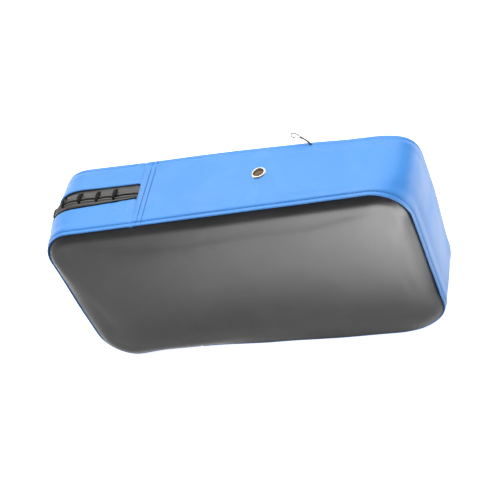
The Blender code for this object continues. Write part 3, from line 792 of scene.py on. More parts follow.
def plated(name, colour, roughness, dull):
    """Plated metal with fine scratches and tarnish in its hollows."""
    tree, shader = start_finish(name, Metallic=1.0)
    coords = add_node(tree, "ShaderNodeTexCoord").outputs["Object"]
    edges = use_group(tree, "rubbed_edges", Low=0.44, High=0.54)
    marks = use_group(tree, "handling_marks", Smudge=240.0, Scuff=1400.0)
    base = tint(tree, edges["Mask"], dull, (*colour, 1.0))
    base = tint(tree, sums(tree, "MULTIPLY", marks["Mask"], 0.35), base, dull)
    tree.links.new(base, shader["Base Color"])
    rough = sums(tree, "MULTIPLY_ADD", marks["Mask"], 0.18, roughness)
    rough = sums(tree, "MULTIPLY_ADD", marks["Scuffs"], 0.15, rough)
    tree.links.new(rough, shader["Roughness"])
    fine = add_node(tree, "ShaderNodeTexNoise", Vector=coords, Scale=1800.0, Detail=3.0)
    bump(tree, shader, fine.outputs["Fac"], 0.00004)
    return FINISHES[name]


def make_finishes():
    """Build the shared groups and every finish of the pad."""
    GROUPS.update(leather_grain=grain_group(), rubbed_edges=wear_group(),
                  handling_marks=marks_group(), weave=weave_group())
    hue = colours()
    pale_blue = towards(hue.blue, (0.75, 0.85, 1.0), 0.30)
    pale_black = towards(hue.black, (0.5, 0.5, 0.5), 0.18)
    cut_blue = towards(hue.blue, (0.6, 0.7, 0.85), 0.5)[:3]
    leather("blue_leather", hue.blue, roughness=0.41, depth=0.00010, worn=pale_blue, spread=0.05,
            crease=0.35)
    leather("face_leather", hue.black, roughness=0.40, depth=0.00007, worn=pale_black,
            pebble=1100.0, crease=0.25)
    leather("black_leather", scaled(hue.black, 0.8)[:3], roughness=0.44, depth=0.00010,
            worn=pale_black)
    leather("facing_leather", hue.facing, roughness=0.52, depth=0.00010, worn=pale_black)
    leather("cut_edge", cut_blue, roughness=0.7, depth=0.0001, worn=pale_blue)
    thread("blue_thread", hue.blue_thread)
    thread("black_thread", hue.black_thread)
    # near-black, almost unshiny finish of the strip on the slot's front edge: painted shadow of the
    # gap there
    woven("painted_slot_shadow", (0.004, 0.004, 0.006), 900.0, 0.0002, sheen=0.0, shine=0.05)
    thread("loose_thread", (0.10, 0.075, 0.06))
    woven("lace", hue.lace, 1300.0, 0.0003, sheen=0.05, light=2.0, shine=0.15)
    woven("rope", hue.rope, 700.0, 0.0006)
    woven("loop_tape", hue.tape, 1100.0, 0.0007, sheen=0.8)
    woven("hook_tape", scaled(hue.tape, 0.7)[:3], 900.0, 0.0004, sheen=0.1)
    woven("gauze", hue.gauze, 2500.0, 0.0001, sheen=0.0)
    foam("soft_foam", hue.soft_foam, 0.0012)
    foam("firm_foam", hue.firm_foam, 0.0020)
    fibre_board("board", hue.board)
    plated("nickel", hue.metal, 0.22, (0.30, 0.27, 0.22, 1.0))


# ---------------------------------------------------------------- casing shapes

# how far the front rim leaves its plane: in at the low near edge, out at the low far edge and
# at the laced end
NEAR_SINK, FAR_PROUD, LACED_PROUD = 0.0032, 0.0026, 0.0022


def rim_sink(x, z):
    """How far the rim is drawn back behind its plane. z is counted from the pad's middle."""
    low = smooth(-z, 0.05, 0.085)
    near = NEAR_SINK * smooth(x, -0.172, -0.130) * smooth(-x, 0.0, 0.080)
    side = smooth(-x, 0.150, 0.190) * smooth(-z, -0.05, 0.02) * (1.0 - smooth(-z, 0.05, 0.085))
    far = FAR_PROUD * smooth(x, -0.01, 0.09) * (1.0 - 2.2 * smooth(x, 0.145, 0.188))
    return low * (near - far) - LACED_PROUD * side


# the face: where its rounded edge starts, how full that edge is, the height of the dome, which is
# fuller towards the top, and of the fuller low near part
FACE_START, FULLNESS, DOME, LOW_FULLNESS = 0.0022, 2.4, 0.0016, 0.0024


def face_rise(x, z, inset):
    """How far the striking face stands in front of the rim plane, inset in from the edge."""
    size = casing()
    low_left = smooth(-x, 0.0, 0.10) * smooth(-z, -0.11, -0.03)
    near_hug = 0.5 * smooth(-x, 0.150, 0.188) * smooth(-z, -0.085, -0.04)
    hug = np.maximum(smooth(-z, 0.050, 0.082), near_hug)
    shoulder = size.shoulder - 0.007 * smooth(-z, 0.0, 0.09) - 0.005 * low_left
    shoulder = shoulder - 0.012 * smooth(z, 0.01, 0.085)
    share = np.clip((inset - FACE_START) / shoulder, 0.0, 1.0)
    pillow = 1.0 - (1.0 - share) ** FULLNESS
    dome = DOME * (1 - (2 * x / LENGTH) ** 2) * (1 - (2 * z / WIDTH - 1) ** 2)
    top = size.crown - 0.0012 + dome + LOW_FULLNESS * low_left
    valley = size.valley * (0.35 + 0.65 * smooth(x, -0.09, 0.04))
    valley = valley + 0.0018 * smooth(x, 0.08, 0.17)
    edge = -valley * (1.0 - hug) + 0.0004 * hug - rim_sink(x, z)
    return edge + (top - edge) * pillow


def signed_way(way):
    """The same way between minus and plus half of the whole outline."""
    half = pad_outline().half_loop
    return (np.asarray(way, float) + half) % (2 * half) - half


def seam_shift(way, behind, seam):
    """Shift of a station that slants the seam and fades away from it."""
    way = signed_way(way)
    near = 1.0 - smooth(np.abs(np.abs(way) - seam), 0.006, 0.055)
    return np.sign(way) * near * (0.0033 - 0.07 * behind)


# the back edge of the wall: its squarer upper far corner, the ridge over the middle of the top
# and the swell of the upper corners
SQUARE_CORNER, TOP_RIDGE, CORNER_SWELL = 0.010, 0.0012, 0.0036


def edge_spread(x, z, out_x, out_z):
    """How far the back edge of the wall stands out from the plain outline."""
    upper = smooth(z, -0.03, 0.06)
    diagonal = (2 * out_x * out_z) ** 2 * (out_z > 0)
    near = casing().near_swell * np.clip(-out_x, 0, 1) ** 2 * (0.35 + 0.65 * upper)
    far = casing().far_swell * np.clip(out_x, 0, 1) ** 2 * smooth(z, -0.06, 0.03)
    turned = np.clip(out_x, 0, 1) * np.maximum(out_z, 0.0)
    far = far + SQUARE_CORNER * turned ** 2 * (out_x ** 2 - out_z ** 2)
    far = far - 0.0016 * smooth(x, 0.09, 0.14) * np.clip(out_z, 0, 1) ** 2
    ridge = TOP_RIDGE * hump(x, 0.0, 0.07) * np.clip(out_z, 0, 1) ** 2
    return near + far + ridge + CORNER_SWELL * diagonal * np.where(out_x > 0, 1.0, 0.35)


def wall_swell(x, z, out_x, out_z, share):
    """Bulge of the wall behind its front rim, none where the pad rests on the floor."""
    arch = np.sin(np.pi * np.clip(share, 0, 1)) ** 0.8
    middle = 0.0012 * out_x ** 2 + casing().top_swell * np.maximum(out_z, 0.0) ** 2
    late = 0.5 * smooth(share, 0.1, 0.85) + 0.5 * smooth(share, 0.05, 0.36)
    rise = np.where(out_x < 0, smooth(share, 0.0, 0.40), late)
    return arch * middle + rise * edge_spread(x, z, out_x, out_z)


# leather over a rim, from its turned-in edge past the crest and the stitch line to the flat wall:
# (distance behind the rim, offset outwards)
RIM_ROLL = (
    (0.0052, -0.00190), (0.0036, -0.00190), (0.0020, -0.00185), (0.0010, -0.00170),
    (0.0004, -0.00135), (0.0000, -0.00090), (0.0002, -0.00040), (0.0008, -0.0001),
    (0.0018, 0.0000), (0.0030, 0.0000), (0.0038, -0.0001), (0.0043, -0.0004),
    (0.0047, -0.00055), (0.0051, -0.0004), (0.0056, 0.0), (0.0066, 0.0004), (0.0085, 0.0006),
    (0.0110, 0.0005), (0.0135, 0.0003),
)
OUTER_ROLL = np.array(RIM_ROLL[7:])
# turned edge of a strip: (distance ahead of the edge, offset outwards)
EDGE_ROLL = ((0.0002, -0.0016), (-0.0003, -0.0009), (0.0001, -0.0002))


def wall_columns(ways, low, high, depth, tuck, step):
    """Stations across a strip of wall: (distance behind the rim, offset outwards) for each way."""
    flat = np.zeros(len(ways))
    rolled = []
    for k, (behind, off) in enumerate(RIM_ROLL):
        straight = 0.0056 + 0.00045 * k
        rolled.append((behind + (straight - behind) * tuck, off * (1 - tuck)))
    columns = rolled if low is None else []
    start = columns[-1][0] if low is None else low(ways)
    rear = [(depth - behind, off) for behind, off in rolled] if high is None else []
    end = rear[-1][0] if high is None else high(ways)
    if low is not None:
        columns += [(start + ahead, flat + off) for ahead, off in EDGE_ROLL]
    count = max(3, round(float(np.mean(end - start)) / step))
    for k in range(1, count):
        columns.append((start + (end - start) * k / count, flat))
    if high is not None:
        rear = [(end - ahead, flat + off) for ahead, off in EDGE_ROLL]
    return columns + rear[::-1]


def wall_sheet(name, ways, low, high, inset, seam, finish, step=0.0026, wrinkle=0.0, tuck=None):
    """Strip of the casing wall that follows the outline.

    low and high are None at a rolled rim, or a function of way that gives the edge's distance
    behind the rim. inset and tuck are functions of way; tuck flattens the rolls.
    """
    ways = np.asarray(ways, float)
    depth = depth_at(pad_outline().point(ways)[0])
    flatten = tuck(ways) if tuck else np.zeros(len(ways))
    points = []
    for behind, off in wall_columns(ways, low, high, depth, flatten, step):
        moved = ways + seam_shift(ways, behind, seam)
        points.append(wall_row(moved, behind, off - inset(ways), wrinkle)[0])
    flat, faces = grid(np.stack(points, 1))
    item = place(name, new_mesh(name, flat, faces), finish)
    item.data.materials.append(FINISHES["cut_edge"])
    thicken(item, casing().leather).modifiers[0].material_offset_rim = 1
    return item


def wall_row(ways, behind, off, wrinkle=0.0):
    """Places on the wall's outer face and its outward directions, off out from the leather."""
    ways = np.asarray(ways, float)
    behind = np.broadcast_to(behind, len(ways))
    x, z, out_x, out_z = pad_outline().point(ways)
    share = np.clip(behind / depth_at(x), 0, 1)
    soft = flat_noise(ways, behind, 0.045, 3) * 0.0006
    soft = soft + flat_noise(ways, behind, 0.016, 5) * 0.00018
    if wrinkle:
        soft = soft + pull_wrinkles(ways, behind, seam_way()) * wrinkle
    soft = soft * np.sin(np.pi * share) ** 0.5 * smooth(out_z, -0.9, -0.3)
    lift = off + wall_swell(x, z, out_x, out_z, share) + soft
    wave = 0.0003 * flat_noise(ways, np.zeros_like(ways), 0.03, 9)
    sink = (rim_sink(x, z) + wave) * np.exp(-behind / 0.02)
    spots = np.stack([x + out_x * lift, FRONT_Y + behind + sink,
                      np.maximum(WIDTH / 2 + z + out_z * lift, 0.0)], 1)
    return spots, upright(out_x, out_z)


def pull_wrinkles(way, behind, seam):
    """Fine pulls that fan out from the end of the slot."""
    side = np.abs(way) - (seam - 0.002)
    up = behind - lacing().slit
    reach = np.hypot(side, up)
    angle = np.arctan2(up, -side)
    fan = np.sin(angle * 19.0) * hump(reach, 0.022, 0.013)
    rows = np.sin(behind * 2600.0 + side * 900) * hump(side, 0.005, 0.006)
    return fan * 0.6 + rows * 0.35


def seam_way():
    """Way of the cut edge of the side wall, where it overlaps the laced end."""
    outline = pad_outline()
    return outline.end_run + outline.arc_run + SEAM_X + LENGTH / 2 - casing().corner


def ways_between(start, end, step, extra=()):
    """Evenly spaced ways with some extra ones."""
    even = np.linspace(start, end, max(2, round((end - start) / step) + 1))
    return np.array(sorted(set(np.round(np.concatenate([even, list(extra)]), 7))))


def strip_edges(seam):
    """Functions of way for the strips of the laced end: step under the wall and slot edges."""
    size = lacing()
    outline = pad_outline()
    corner_end = outline.end_run + outline.arc_run

    def under(way):
        return smooth(np.abs(way), seam - 0.0045, seam - 0.0001)

    def tucked(way):
        return smooth(np.abs(way), seam + 0.0010, seam + 0.0045)

    def closing(way):
        return np.clip((np.abs(way) - corner_end) / (seam - corner_end), 0.0, 1.0)

    def front_slot(way):
        return size.slot_front + size.slot_taper * closing(way)

    def back_slot(way):
        return size.slot_back - size.slot_taper * closing(way)

    return under, tucked, front_slot, back_slot


class PAD_OT_walls(bpy.types.Operator):
    """Blue side wall and the two blue strips of the laced end"""

    bl_idname = "pad.walls"
    bl_label = "Casing Walls"

    def execute(self, context):
        seam = seam_way()
        outline = pad_outline()
        finish = FINISHES["blue_leather"]
        ways = ways_between(seam, 2 * outline.half_loop - seam, 0.0026)
        wall = wall_sheet("blue_side_wall", ways, None, None, np.zeros_like, seam, finish)
        apply_modifiers(wall)
        cut_vent(wall)
        attach(wall, ["side_wall"])
        under, tucked, front_slot, back_slot = strip_edges(seam)
        end = seam + lacing().overlap
        steps = (seam - 0.0032, seam - 0.0022, seam - 0.0012, seam - 0.0003)
        ways = ways_between(-end, end, 0.0015, steps + tuple(-step for step in steps))

        def inset(way):
            return (casing().leather + GAP) * under(way)

        front = wall_sheet("blue_laced_strip_front", ways, None, front_slot, inset, seam, finish,
                           step=0.0016, wrinkle=0.00035, tuck=tucked)
        back = wall_sheet("blue_laced_strip_back", ways, back_slot, None, inset, seam, finish,
                          step=0.0016, wrinkle=0.00025, tuck=tucked)
        attach(front, ["closure_wall_front"])
        attach(back, ["closure_wall_back"])
        return {"FINISHED"}


def cut_round(item, places, radius, depth):
    """Cut round holes. places are (point, direction) pairs."""
    points, faces = [], []
    for point, axis in places:
        profile = [(0.0, -depth), (radius, -depth), (radius, depth), (0.0, depth)]
        gather(points, faces, lathe(profile, 16, axis, point))
    mesh = weld(new_mesh(item.name + "_holes", points, faces))
    cutter = bpy.data.objects.new(item.name + "_holes", mesh)
    bpy.context.scene.collection.objects.link(cutter)
    cut = item.modifiers.new("holes", "BOOLEAN")
    cut.operation, cut.solver, cut.object = "DIFFERENCE", "EXACT", cutter
    apply_modifiers(item)
    bpy.data.objects.remove(cutter, do_unlink=True)
    bpy.data.meshes.remove(mesh)


def vent_middle():
    """Middle of the vent on the outer face of the upper wall."""
    return Vector(((VENT_LOW.x + VENT_HIGH.x) / 2, (VENT_LOW.y + VENT_HIGH.y) / 2, WIDTH))


def cut_vent(wall):
    """Hole in the upper wall for the vent."""
    cut_round(wall, [(vent_middle(), UP)], radius=0.0063, depth=0.010)


# folded hem of a facing: (distance from the slit, offset outwards)
HEM = ((0.0009, -0.0014), (0.0005, -0.0005), (0.0007, 0.0002), (0.0013, 0.0006), (0.0024, 0.0006),
       (0.0031, 0.0004), (0.0036, -0.0002), (0.0041, -0.0003), (0.0046, 0.0))


class PAD_OT_facings(bpy.types.Operator):
    """Black facings and the tongue under the lacing"""

    bl_idname = "pad.facings"
    bl_label = "Facings and Tongue"

    def execute(self, context):
        size = lacing()
        seam = seam_way()
        end = seam + size.overlap
        finish = FINISHES["facing_leather"]
        step = (seam - 0.0067, seam - 0.0022)

        def inset(way):
            under = smooth(np.abs(way), *step)
            return size.facing_drop + (casing().leather + GAP) * under

        ways = ways_between(-end, end, 0.0017, step + tuple(-way for way in step))
        for label, sign, outer, holes in (
            ("front", -1.0, size.slot_front - size.facing_tuck, size.hole_front),
            ("back", 1.0, size.slot_back + size.facing_tuck, size.hole_back),
        ):
            columns = [(size.slit + sign * (0.0004 + away), off) for away, off in HEM]
            last = columns[-1][0]
            columns += [(last + (outer - last) * k / 9, 0.0) for k in range(1, 10)]
            if sign < 0:
                columns = columns[::-1]
            item = self.facing(label, ways, columns, inset, finish)
            spots = [on_facing(way, size.slit + sign * holes, 0.0) for way in lace_ways()]
            cut_round(item, spots, size.hole + 0.0003, depth=0.0035)
            attach(item, ["closure_facing_" + label])
        ways = ways_between(-end, end, 0.003)
        columns = [(size.slot_front + (size.slot_back - size.slot_front) * k / 8, 0.0)
                   for k in range(9)]
        drop = np.full(len(ways), size.tongue_drop)
        tongue = self.facing("tongue", ways, columns, lambda way: drop, finish)
        attach(tongue, ["closure_tongue"])
        return {"FINISHED"}

    def facing(self, label, ways, columns, inset, finish):
        """Strip of leather below the wall from its stations across."""
        points = np.zeros((len(ways), len(columns), 3))
        bulging = label != "tongue"
        for j, (behind, off) in enumerate(columns):
            lift = off - inset(ways) + (facing_lift(ways, behind) if bulging else 0.0)
            points[:, j] = below_wall(ways, behind, lift)[0]
        flat, faces = grid(points)
        item = place("black_facing_" + label, new_mesh("facing", flat, faces), finish)
        thicken(item, casing().leather)
        return apply_modifiers(item)


def facing_lift(ways, behind):
    """Rise of the facings to the slit, pucker between bars and dip at the slot's front edge."""
    size = lacing()
    ways = np.asarray(ways, float)
    outline = pad_outline()
    ripple = flat_noise(ways, np.full(len(ways), behind), 0.012, 21) * 0.0003
    pucker = -0.0003 * np.cos(ways / size.pitch * 2 * math.pi)
    pucker = pucker * hump(behind, size.slit, 0.006)
    round_end = 1.0 - smooth(np.abs(ways), outline.end_run + 0.045, seam_way() - 0.02)
    crown = smooth(behind, size.slot_front, size.slit - 0.002)
    crown = crown * smooth(-behind, -size.slot_back, -size.slit - 0.006)
    dip = 0.0012 * (1 - smooth(behind, size.slot_front + 0.0010, size.slot_front + 0.0060))
    return ripple + pucker + crown * (0.0009 + 0.0018 * round_end) - dip


def below_wall(ways, behind, lift):
    """Places on the plain outline moved out with the wall's swell, and outward directions."""
    ways = np.asarray(ways, float)
    x, z, out_x, out_z = pad_outline().point(ways)
    share = np.clip(behind / depth_at(x), 0, 1)
    lift = lift + wall_swell(x, z, out_x, out_z, share) * smooth(out_z, -0.9, -0.3)
    y = np.full(len(x), FRONT_Y + behind)
    spots = np.stack([x + out_x * lift, y, WIDTH / 2 + z + out_z * lift], 1)
    return spots, upright(out_x, out_z)


def on_facing(way, behind, off):
    """Place on the facing's outer face and its outward direction, as vectors."""
    lift = off - lacing().facing_drop + facing_lift(np.array([way]), behind)
    spot, out = below_wall(np.array([way]), behind, lift)
    return Vector(spot[0]), Vector(out[0])


def lace_ways():
    """Where each bar of the lace crosses the slit."""
    size = lacing()
    return [size.pitch * (k - (size.bars - 1) / 2) for k in range(size.bars)]


# one bar of the lace: (share of the way across, rise, width)
BAR_SHAPE = ((0.0, 0.2, 0.62), (0.12, 0.75, 0.85), (0.3, 1.0, 1.0), (0.5, 1.15, 1.08),
             (0.7, 1.0, 1.0), (0.88, 0.75, 0.85), (1.0, 0.2, 0.62))
BELOW_FACING, ABOVE_FACING = 0.0016, 0.0010
LACE_HALF_THICKNESS = 0.0007
STEEP = 0.35


class PAD_OT_lace(bpy.types.Operator):
    """Flat lace that crosses the slit in short bars"""

    bl_idname = "pad.lace"
    bl_label = "Lace"

    def execute(self, context):
        size = lacing()
        route = []
        below = -(casing().leather + BELOW_FACING)
        above = ABOVE_FACING
        ways = lace_ways()
        span = size.hole_front + size.hole_back
        for number, way in enumerate(ways):
            bulge = 0.0010 + 0.0004 * math.sin(number * 2.4)
            lean = 0.0006 * math.sin(number * 1.7)
            route.append((way, size.slit - size.hole_front, below, 0.55))
            route.append((way, size.slit - size.hole_front, (above + below) / 2, 0.5))
            for share, rise, wide in BAR_SHAPE:
                behind = size.slit - size.hole_front + span * share
                route.append((way + lean * math.sin(math.pi * share), behind,
                              above + bulge * rise, wide))
            route.append((way, size.slit + size.hole_back, (above + below) / 2, 0.5))
            route.append((way, size.slit + size.hole_back, below, 0.55))
            if number + 1 < len(ways):
                for share in (0.25, 0.5, 0.75):
                    behind = size.slit + size.hole_back - share * span
                    route.append((way + share * size.pitch, behind, below - 0.0004, 0.9))
        line, outs, widths = [], [], []
        for way, behind, off, wide in route:
            spot, out = on_facing(way, behind, off)
            line.append(spot)
            outs.append(out)
            widths.append(wide)
        line = np.array(line)
        run = run_of(line)
        fine = np.linspace(0.0, run[-1], round(run[-1] / 0.0007))
        line = soften(pick(fine, run, line), 2)
        outs = pick(fine, run, np.array(outs))
        wide = np.interp(fine, run, widths) * size.lace_width / 2
        along = directions(line)
        sides = np.cross(outs, along)
        flat = np.linalg.norm(sides, axis=1)
        first = int(np.argmax(flat > STEEP))
        keep = sides[first] / flat[first]
        for k in range(len(sides)):
            if flat[k] > STEEP:
                keep = sides[k] / flat[k]
            sides[k] = keep
        outs = np.cross(along, sides)
        points = bar(line, outs, wide, LACE_HALF_THICKNESS, power=0.5)
        mesh = new_mesh("lace", *capped(points))
        attach(place("flat_lace", weld(mesh), FINISHES["lace"]), ["closure_lace"])
        return {"FINISHED"}


# ---------------------------------------------------------------- face, foam and back panel

def inflate(item, pinned, pressure, cap, calm=0, frames=20):
    """Let the sheet swell as sewn leather over foam, with pinned points held.

    The movement is evened out over neighbouring points in a number of calming rounds, and no
    point moves further than cap. The result is kept in the mesh and no modifier is left.
    """
    before = np.array([vert.co for vert in item.data.vertices])
    pairs = np.array([edge.vertices[:] for edge in item.data.edges])
    meets = np.bincount(pairs.ravel(), minlength=len(before))[:, None]
    held = item.vertex_groups.new(name="sewn")
    held.add([int(k) for k in np.nonzero(pinned)[0]], 1.0, "REPLACE")
    cloth = item.modifiers.new("cloth", "CLOTH")
    cloth.settings.quality = 6
    cloth.settings.mass = 0.4
    cloth.settings.tension_stiffness = 60
    cloth.settings.compression_stiffness = 60
    cloth.settings.shear_stiffness = 20
    cloth.settings.bending_stiffness = 30
    cloth.settings.vertex_group_mass = "sewn"
    cloth.settings.use_pressure = True
    cloth.settings.uniform_pressure_force = pressure
    cloth.settings.effector_weights.gravity = 0.0
    cloth.collision_settings.use_collision = False
    cloth.point_cache.frame_start, cloth.point_cache.frame_end = 1, frames
    scene = bpy.context.scene
    for number in range(1, frames + 1):
        scene.frame_set(number)
    graph = bpy.context.evaluated_depsgraph_get()
    shaped = item.evaluated_get(graph).to_mesh()
    after = np.array([vert.co for vert in shaped.vertices])
    item.evaluated_get(graph).to_mesh_clear()
    item.modifiers.clear()
    item.vertex_groups.clear()
    scene.frame_set(1)
    move = after - before
    for _ in range(calm):
        total = np.zeros_like(move)
        np.add.at(total, pairs[:, 0], move[pairs[:, 1]])
        np.add.at(total, pairs[:, 1], move[pairs[:, 0]])
        move = np.where(pinned[:, None], move, 0.5 * move + 0.5 * total / meets)
    size = np.linalg.norm(move, axis=1)[:, None]
    move *= cap * np.tanh(size / cap) / np.maximum(size, 1e-9)
    item.data.vertices.foreach_set("co", (before + move).astype(np.float32).ravel())
    item.data.update()


def subdivide(item, levels=1):
    """Smooth and refine the mesh."""
    finer = item.modifiers.new("finer", "SUBSURF")
    finer.levels = finer.render_levels = levels
    finer.boundary_smooth = "PRESERVE_CORNERS"
    return apply_modifiers(item)


FACE_RINGS = (0.0021, 0.0025, 0.0032, 0.0041, 0.0054, 0.0064, 0.0078, 0.0094, 0.0114, 0.0138,
              0.0166, 0.0200)
SEWN_WIDTH, FACE_LEATHER = 0.0042, 0.0013


class PAD_OT_face(bpy.types.Operator):
    """Black striking face, swelled over its foam"""

    bl_idname = "pad.face"
    bl_label = "Striking Face"

    def execute(self, context):
        outline = pad_outline()
        x, z, faces, _ = outline.patch(0.0042, FACE_RINGS)
        inset = outline.inside(x, z)
        rise = face_rise(x, z, inset)
        waves = 0.0005 * flat_noise(x, z, 0.070, 31) + 0.0002 * flat_noise(x, z, 0.025, 33)
        rise += smooth(inset, 0.006, 0.03) * waves
        points = np.stack([x, FRONT_Y - rise, WIDTH / 2 + z], 1)
        mesh = new_mesh("face", points, faces)
        item = place("black_striking_face", mesh, FINISHES["face_leather"])
        inflate(item, inset < SEWN_WIDTH, pressure=4.0, cap=0.0007, calm=30)
        subdivide(item)
        thicken(item, FACE_LEATHER)
        attach(apply_modifiers(item), ["face_panel"])
        return {"FINISHED"}


def slab(outline, step, insets, front, back, flip=False):
    """Points and faces of a closed slab whose two faces are heights over the same outline."""
    a, b, faces, border = outline.patch(step, insets)
    inset = outline.inside(a, b)
    count = len(a)
    points = np.concatenate([front(a, b, inset), back(a, b, inset)])
    shell = list(faces) + [tuple(k + count for k in face[::-1]) for face in faces]
    for k, this in enumerate(border):
        after = border[(k + 1) % len(border)]
        shell.append((this, this + count, after + count, after))
    if flip:
        shell = [face[::-1] for face in shell]
    return points, shell


FOAM_RINGS = (0.0, 0.0008, 0.0025, 0.006, 0.012, 0.020)


class PAD_OT_foam(bpy.types.Operator):
    """Three foam layers inside the casing, and finishes for the hidden board and washer"""

    bl_idname = "pad.foam"
    bl_label = "Foam Layers"

    def execute(self, context):
        for node, finish in (("foam_front", "soft_foam"), ("foam_middle", "firm_foam"),
                             ("foam_back", "soft_foam")):
            low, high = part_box(node)
            margin = 0.0046 if node == "foam_front" else 0.0
            inset = (LENGTH - (high.x - low.x)) / 2 + margin
            outline = RoundedRect(LENGTH - 2 * inset, WIDTH - 2 * inset, casing().corner - inset)
            front = self.front_of(node, low, inset)
            back = self.back_of(node, high)
            mesh = new_mesh(node, *slab(outline, 0.007, FOAM_RINGS, front, back))
            item = place("foam_layer_" + node[5:], weld(mesh, FINE_WELD), FINISHES[finish])
            attach(item, [node])
        for node, finish in (("backing_board", "board"), ("vent_washer", "nickel")):
            for slot in frame["nodes"][node].material_slots:
                slot.material = FINISHES[finish]
        return {"FINISHED"}

    def front_of(self, node, low, gap):
        """Front surface of a layer."""
        def front(x, z, inset):
            round_off = 0.0015 * np.exp(-inset / 0.0015)
            if node == "foam_front":
                rise = face_rise(x, z, inset + gap) - 0.0032
                y = FRONT_Y - rise + round_off
            else:
                y = low.y + round_off + 0.0003 * (1 + flat_noise(x, z, 0.03, 41))
            return np.stack([x, y, WIDTH / 2 + z], 1)
        return front

    def back_of(self, node, high):
        """Back surface of a layer."""
        def back(x, z, inset):
            round_off = 0.0015 * np.exp(-inset / 0.0015)
            if node == "foam_back":
                y = BACK_MIDDLE.y - TAPER * x - 0.0042 - round_off
            else:
                y = high.y - round_off
            return np.stack([x, y, WIDTH / 2 + z], 1)
        return back


def back_points(u, w, v):
    """Array of places in the frame of the tilted back: along it, up it and out from it."""
    v = np.broadcast_to(v, np.shape(u))
    return np.array(BACK_MIDDLE) + np.outer(u, ALONG) + np.outer(v, OUTWARD) + np.outer(w, UP)


def all_outward(count):
    """The same direction, out from the back, a number of times."""
    return np.tile(np.array(OUTWARD), (count, 1))


class PAD_OT_back(bpy.types.Operator):
    """Blue back panel, sewn in behind the back rim"""

    bl_idname = "pad.back"
    bl_label = "Back Panel"

    def execute(self, context):
        edge, sewn, thickness = 0.0030, 0.0028, 0.0014
        outline = RoundedRect(LENGTH - 2 * edge, WIDTH - 2 * edge, casing().corner - edge)
        tops = self.flat_places()

        def tuck(inset):
            return 0.0024 * (1 - smooth(inset, 0.0, 0.0045))

        def outer(a, b, inset):
            u = back_u(a)
            puff = np.full(len(u), 1.0)
            for middle_u, middle_w, half_u, half_w in tops:
                over = np.maximum(np.abs(u - middle_u) - half_u, np.abs(b - middle_w) - half_w)
                puff = np.minimum(puff, smooth(over, 0.0, 0.014))
            soft = 0.5 + 0.5 * flat_noise(a, b, 0.05, 51)
            fine = flat_noise(a, b, 0.018, 53)
            v = puff * smooth(inset, 0.004, 0.03) * (0.0014 * soft + 0.0002 * fine)
            v = v - tuck(inset) - 0.0004 * hump(inset, sewn, 0.0006)
            return back_points(u, b, v)

        def inner(a, b, inset):
            return back_points(back_u(a), b, -thickness - tuck(inset))

        rings = (0.0, 0.0008, 0.0016, 0.0024, sewn, 0.0032, 0.0040, 0.0060, 0.0090, 0.0130,
                 0.0180)
        points, faces = slab(outline, 0.0042, rings, outer, inner, flip=True)
        item = place("blue_back_panel", new_mesh("back", self.spread(points), faces),
                     FINISHES["blue_leather"])
        attach(item, ["back_panel"])
        ways = np.linspace(-outline.half_loop, outline.half_loop, 520)
        a, b, _, _ = outline.point(ways, sewn)
        line = self.spread(back_points(back_u(a), b, -0.00085))
        seam = stitches("back_panel_stitches", line, all_outward(len(line)),
                        FINISHES["blue_thread"], pitch=0.0040, length=0.0034, radius=0.00036)
        attach(seam)
        return {"FINISHED"}

    def spread(self, points):
        """Move the places near the outline out with the back edge of the wall."""
        outline = pad_outline()
        x, z = points[:, 0], points[:, 2] - WIDTH / 2
        inset = outline.inside(x, z)
        over_x = np.maximum(np.abs(x) - LENGTH / 2 + outline.radius, 0) * np.sign(x)
        over_z = np.maximum(np.abs(z) - WIDTH / 2 + outline.radius, 0) * np.sign(z)
        size = np.maximum(np.hypot(over_x, over_z), 1e-9)
        out_x, out_z = over_x / size, over_z / size
        move = edge_spread(x, z, out_x, out_z) * (1 - smooth(inset, 0.004, 0.034))
        return points + upright(out_x * move, out_z * move)

    def flat_places(self):
        """Areas that the anchors press flat: middle and half size along and up."""
        areas = []
        names = [strap + end for strap in ("wrist_strap", "elbow_strap")
                 for end in ("_patch_upper", "_patch_lower")]
        for name in names + ["handle_tab_upper", "handle_tab_lower", "forearm_cushion"]:
            low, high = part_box(name)
            middle = (low + high) / 2
            areas.append((back_u(middle.x), middle.z - WIDTH / 2,
                          (high.x - low.x) / 2 + 0.001, (high.z - low.z) / 2 + 0.004))
        return areas


def close_under(item, base):
    """Close an open sheet by a flat copy of itself at the base height over the back."""
    sheet = bmesh.new()
    sheet.from_mesh(item.data)
    made = bmesh.ops.extrude_face_region(sheet, geom=sheet.faces[:], use_keep_orig=True)
    copies = [part for part in made["geom"] if isinstance(part, bmesh.types.BMVert)]
    for vert in copies:
        off = (vert.co - BACK_MIDDLE).dot(OUTWARD)
        vert.co += OUTWARD * (base - off)
    bmesh.ops.recalc_face_normals(sheet, faces=sheet.faces[:])
    sheet.to_mesh(item.data)
    sheet.free()
    item.data.shade_smooth()


